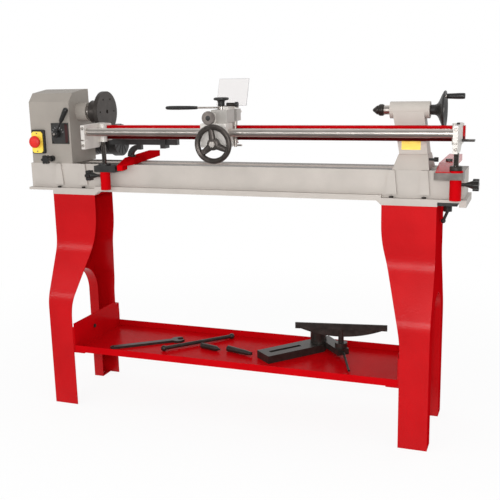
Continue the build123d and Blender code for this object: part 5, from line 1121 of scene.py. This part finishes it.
def add_floor(colour):
    """Pale floor that keeps the shadow of the lathe and turns plain white away from it."""
    bm = bmesh.new()
    bmesh.ops.create_grid(bm, x_segments=1, y_segments=1, size=FLOOR_SIZE / 2,
                          matrix=Matrix.Translation(Z * FLOOR_LEVEL))
    mesh = bpy.data.meshes.new("floor")
    bm.to_mesh(mesh)
    bm.free()
    floor = bpy.data.objects.new("floor", mesh)
    bpy.context.scene.collection.objects.link(floor)
    material = bpy.data.materials.new("Painted studio floor")
    tree = empty_tree(material)
    place = add_node(tree, "ShaderNodeTexCoord")
    grain = add_node(tree, "ShaderNodeTexNoise", {"Scale": per_mm(40), "Detail": 3.0},
                     {"Vector": (place, "Object")})
    tint = add_node(tree, "ShaderNodeValToRGB", links={"Fac": (grain, "Fac")},
                    ramp=[(0.3, shade(colour, 0.99)), (0.7, colour)])
    reach = add_node(tree, "ShaderNodeVectorMath", links={0: (place, "Object")}, operation="LENGTH")
    fade = add_node(tree, "ShaderNodeMapRange",
                    {"From Min": FADE_START, "From Max": FADE_END, "To Min": FLOOR_WHITE, "To Max": 1.0},
                    {"Value": (reach, "Value")}, interpolation_type="SMOOTHSTEP")
    studio = studio_share(tree, (place, "Object"), FLOOR_RANGE)
    cover = background_share(tree, 0.0, seen=(fade, "Result"))
    glow = background_share(tree, 1.0, (studio, "Result"))
    paint = add_node(tree, "ShaderNodeBsdfDiffuse", links={"Color": (tint, "Color")})
    white = add_node(tree, "ShaderNodeEmission", {"Color": WHITE}, {"Strength": (glow, "Result")})
    mix = add_node(tree, "ShaderNodeMixShader", links={0: (cover, "Result"), 1: (paint, "BSDF"),
                                                       2: (white, "Emission")})
    add_node(tree, "ShaderNodeOutputMaterial", links={"Surface": (mix, "Shader")})
    mesh.materials.append(material)


class LATHE_OT_stage(bpy.types.Operator):
    """Floor, soft light, white background and camera."""

    bl_idname = "lathe.stage"
    bl_label = "Stage"

    def execute(self, context):
        add_world()
        add_floor(context.scene.lathe_colours.floor)
        sizes = context.scene.lathe_sizes
        add_lamp("Main lamp", LAMP_PLACE, LAMP_TARGET, sizes.lamp_size, sizes.lamp_size, LAMP_POWER)
        add_lamp("Strip lamp", STRIP_PLACE, STRIP_TARGET, sizes.strip_length, sizes.strip_width, STRIP_POWER)
        add_camera()
        context.scene.view_settings.view_transform = "Standard"
        return {"FINISHED"}


STEPS = (LATHE_OT_finishes, LATHE_OT_stand, LATHE_OT_bed, LATHE_OT_headstock, LATHE_OT_drive,
         LATHE_OT_switch, LATHE_OT_speed_control, LATHE_OT_tailstock, LATHE_OT_tailstock_wheel,
         LATHE_OT_copying_frame, LATHE_OT_carriage, LATHE_OT_carriage_wheel, LATHE_OT_feed_lever,
         LATHE_OT_shield, LATHE_OT_loose_tools, LATHE_OT_stage)


class LATHE_PT_panel(bpy.types.Panel):
    """Lists the steps of the lathe."""

    bl_idname = "LATHE_PT_panel"
    bl_label = "Copying lathe"
    bl_space_type = "VIEW_3D"
    bl_region_type = "UI"
    bl_category = "Lathe"

    def draw(self, context):
        for group in (context.scene.lathe_colours, context.scene.lathe_sizes):
            for name in group.__annotations__:
                self.layout.prop(group, name)
        for step in STEPS:
            self.layout.operator(step.bl_idname)


CLASSES = (LatheColours, LatheSizes, *STEPS, LATHE_PT_panel)


def register():
    """Registers the classes and their settings on the scene."""
    for item in CLASSES:
        bpy.utils.register_class(item)
    bpy.types.Scene.lathe_colours = bpy.props.PointerProperty(type=LatheColours)
    bpy.types.Scene.lathe_sizes = bpy.props.PointerProperty(type=LatheSizes)


def unregister():
    """Removes the settings and the classes."""
    del bpy.types.Scene.lathe_sizes
    del bpy.types.Scene.lathe_colours
    for item in reversed(CLASSES):
        bpy.utils.unregister_class(item)


def main():
    """Makes every piece and the stage."""
    register()
    for step in STEPS:
        group, name = step.bl_idname.split(".")
        getattr(getattr(bpy.ops, group), name)()


if __name__ == "__main__":
    main()
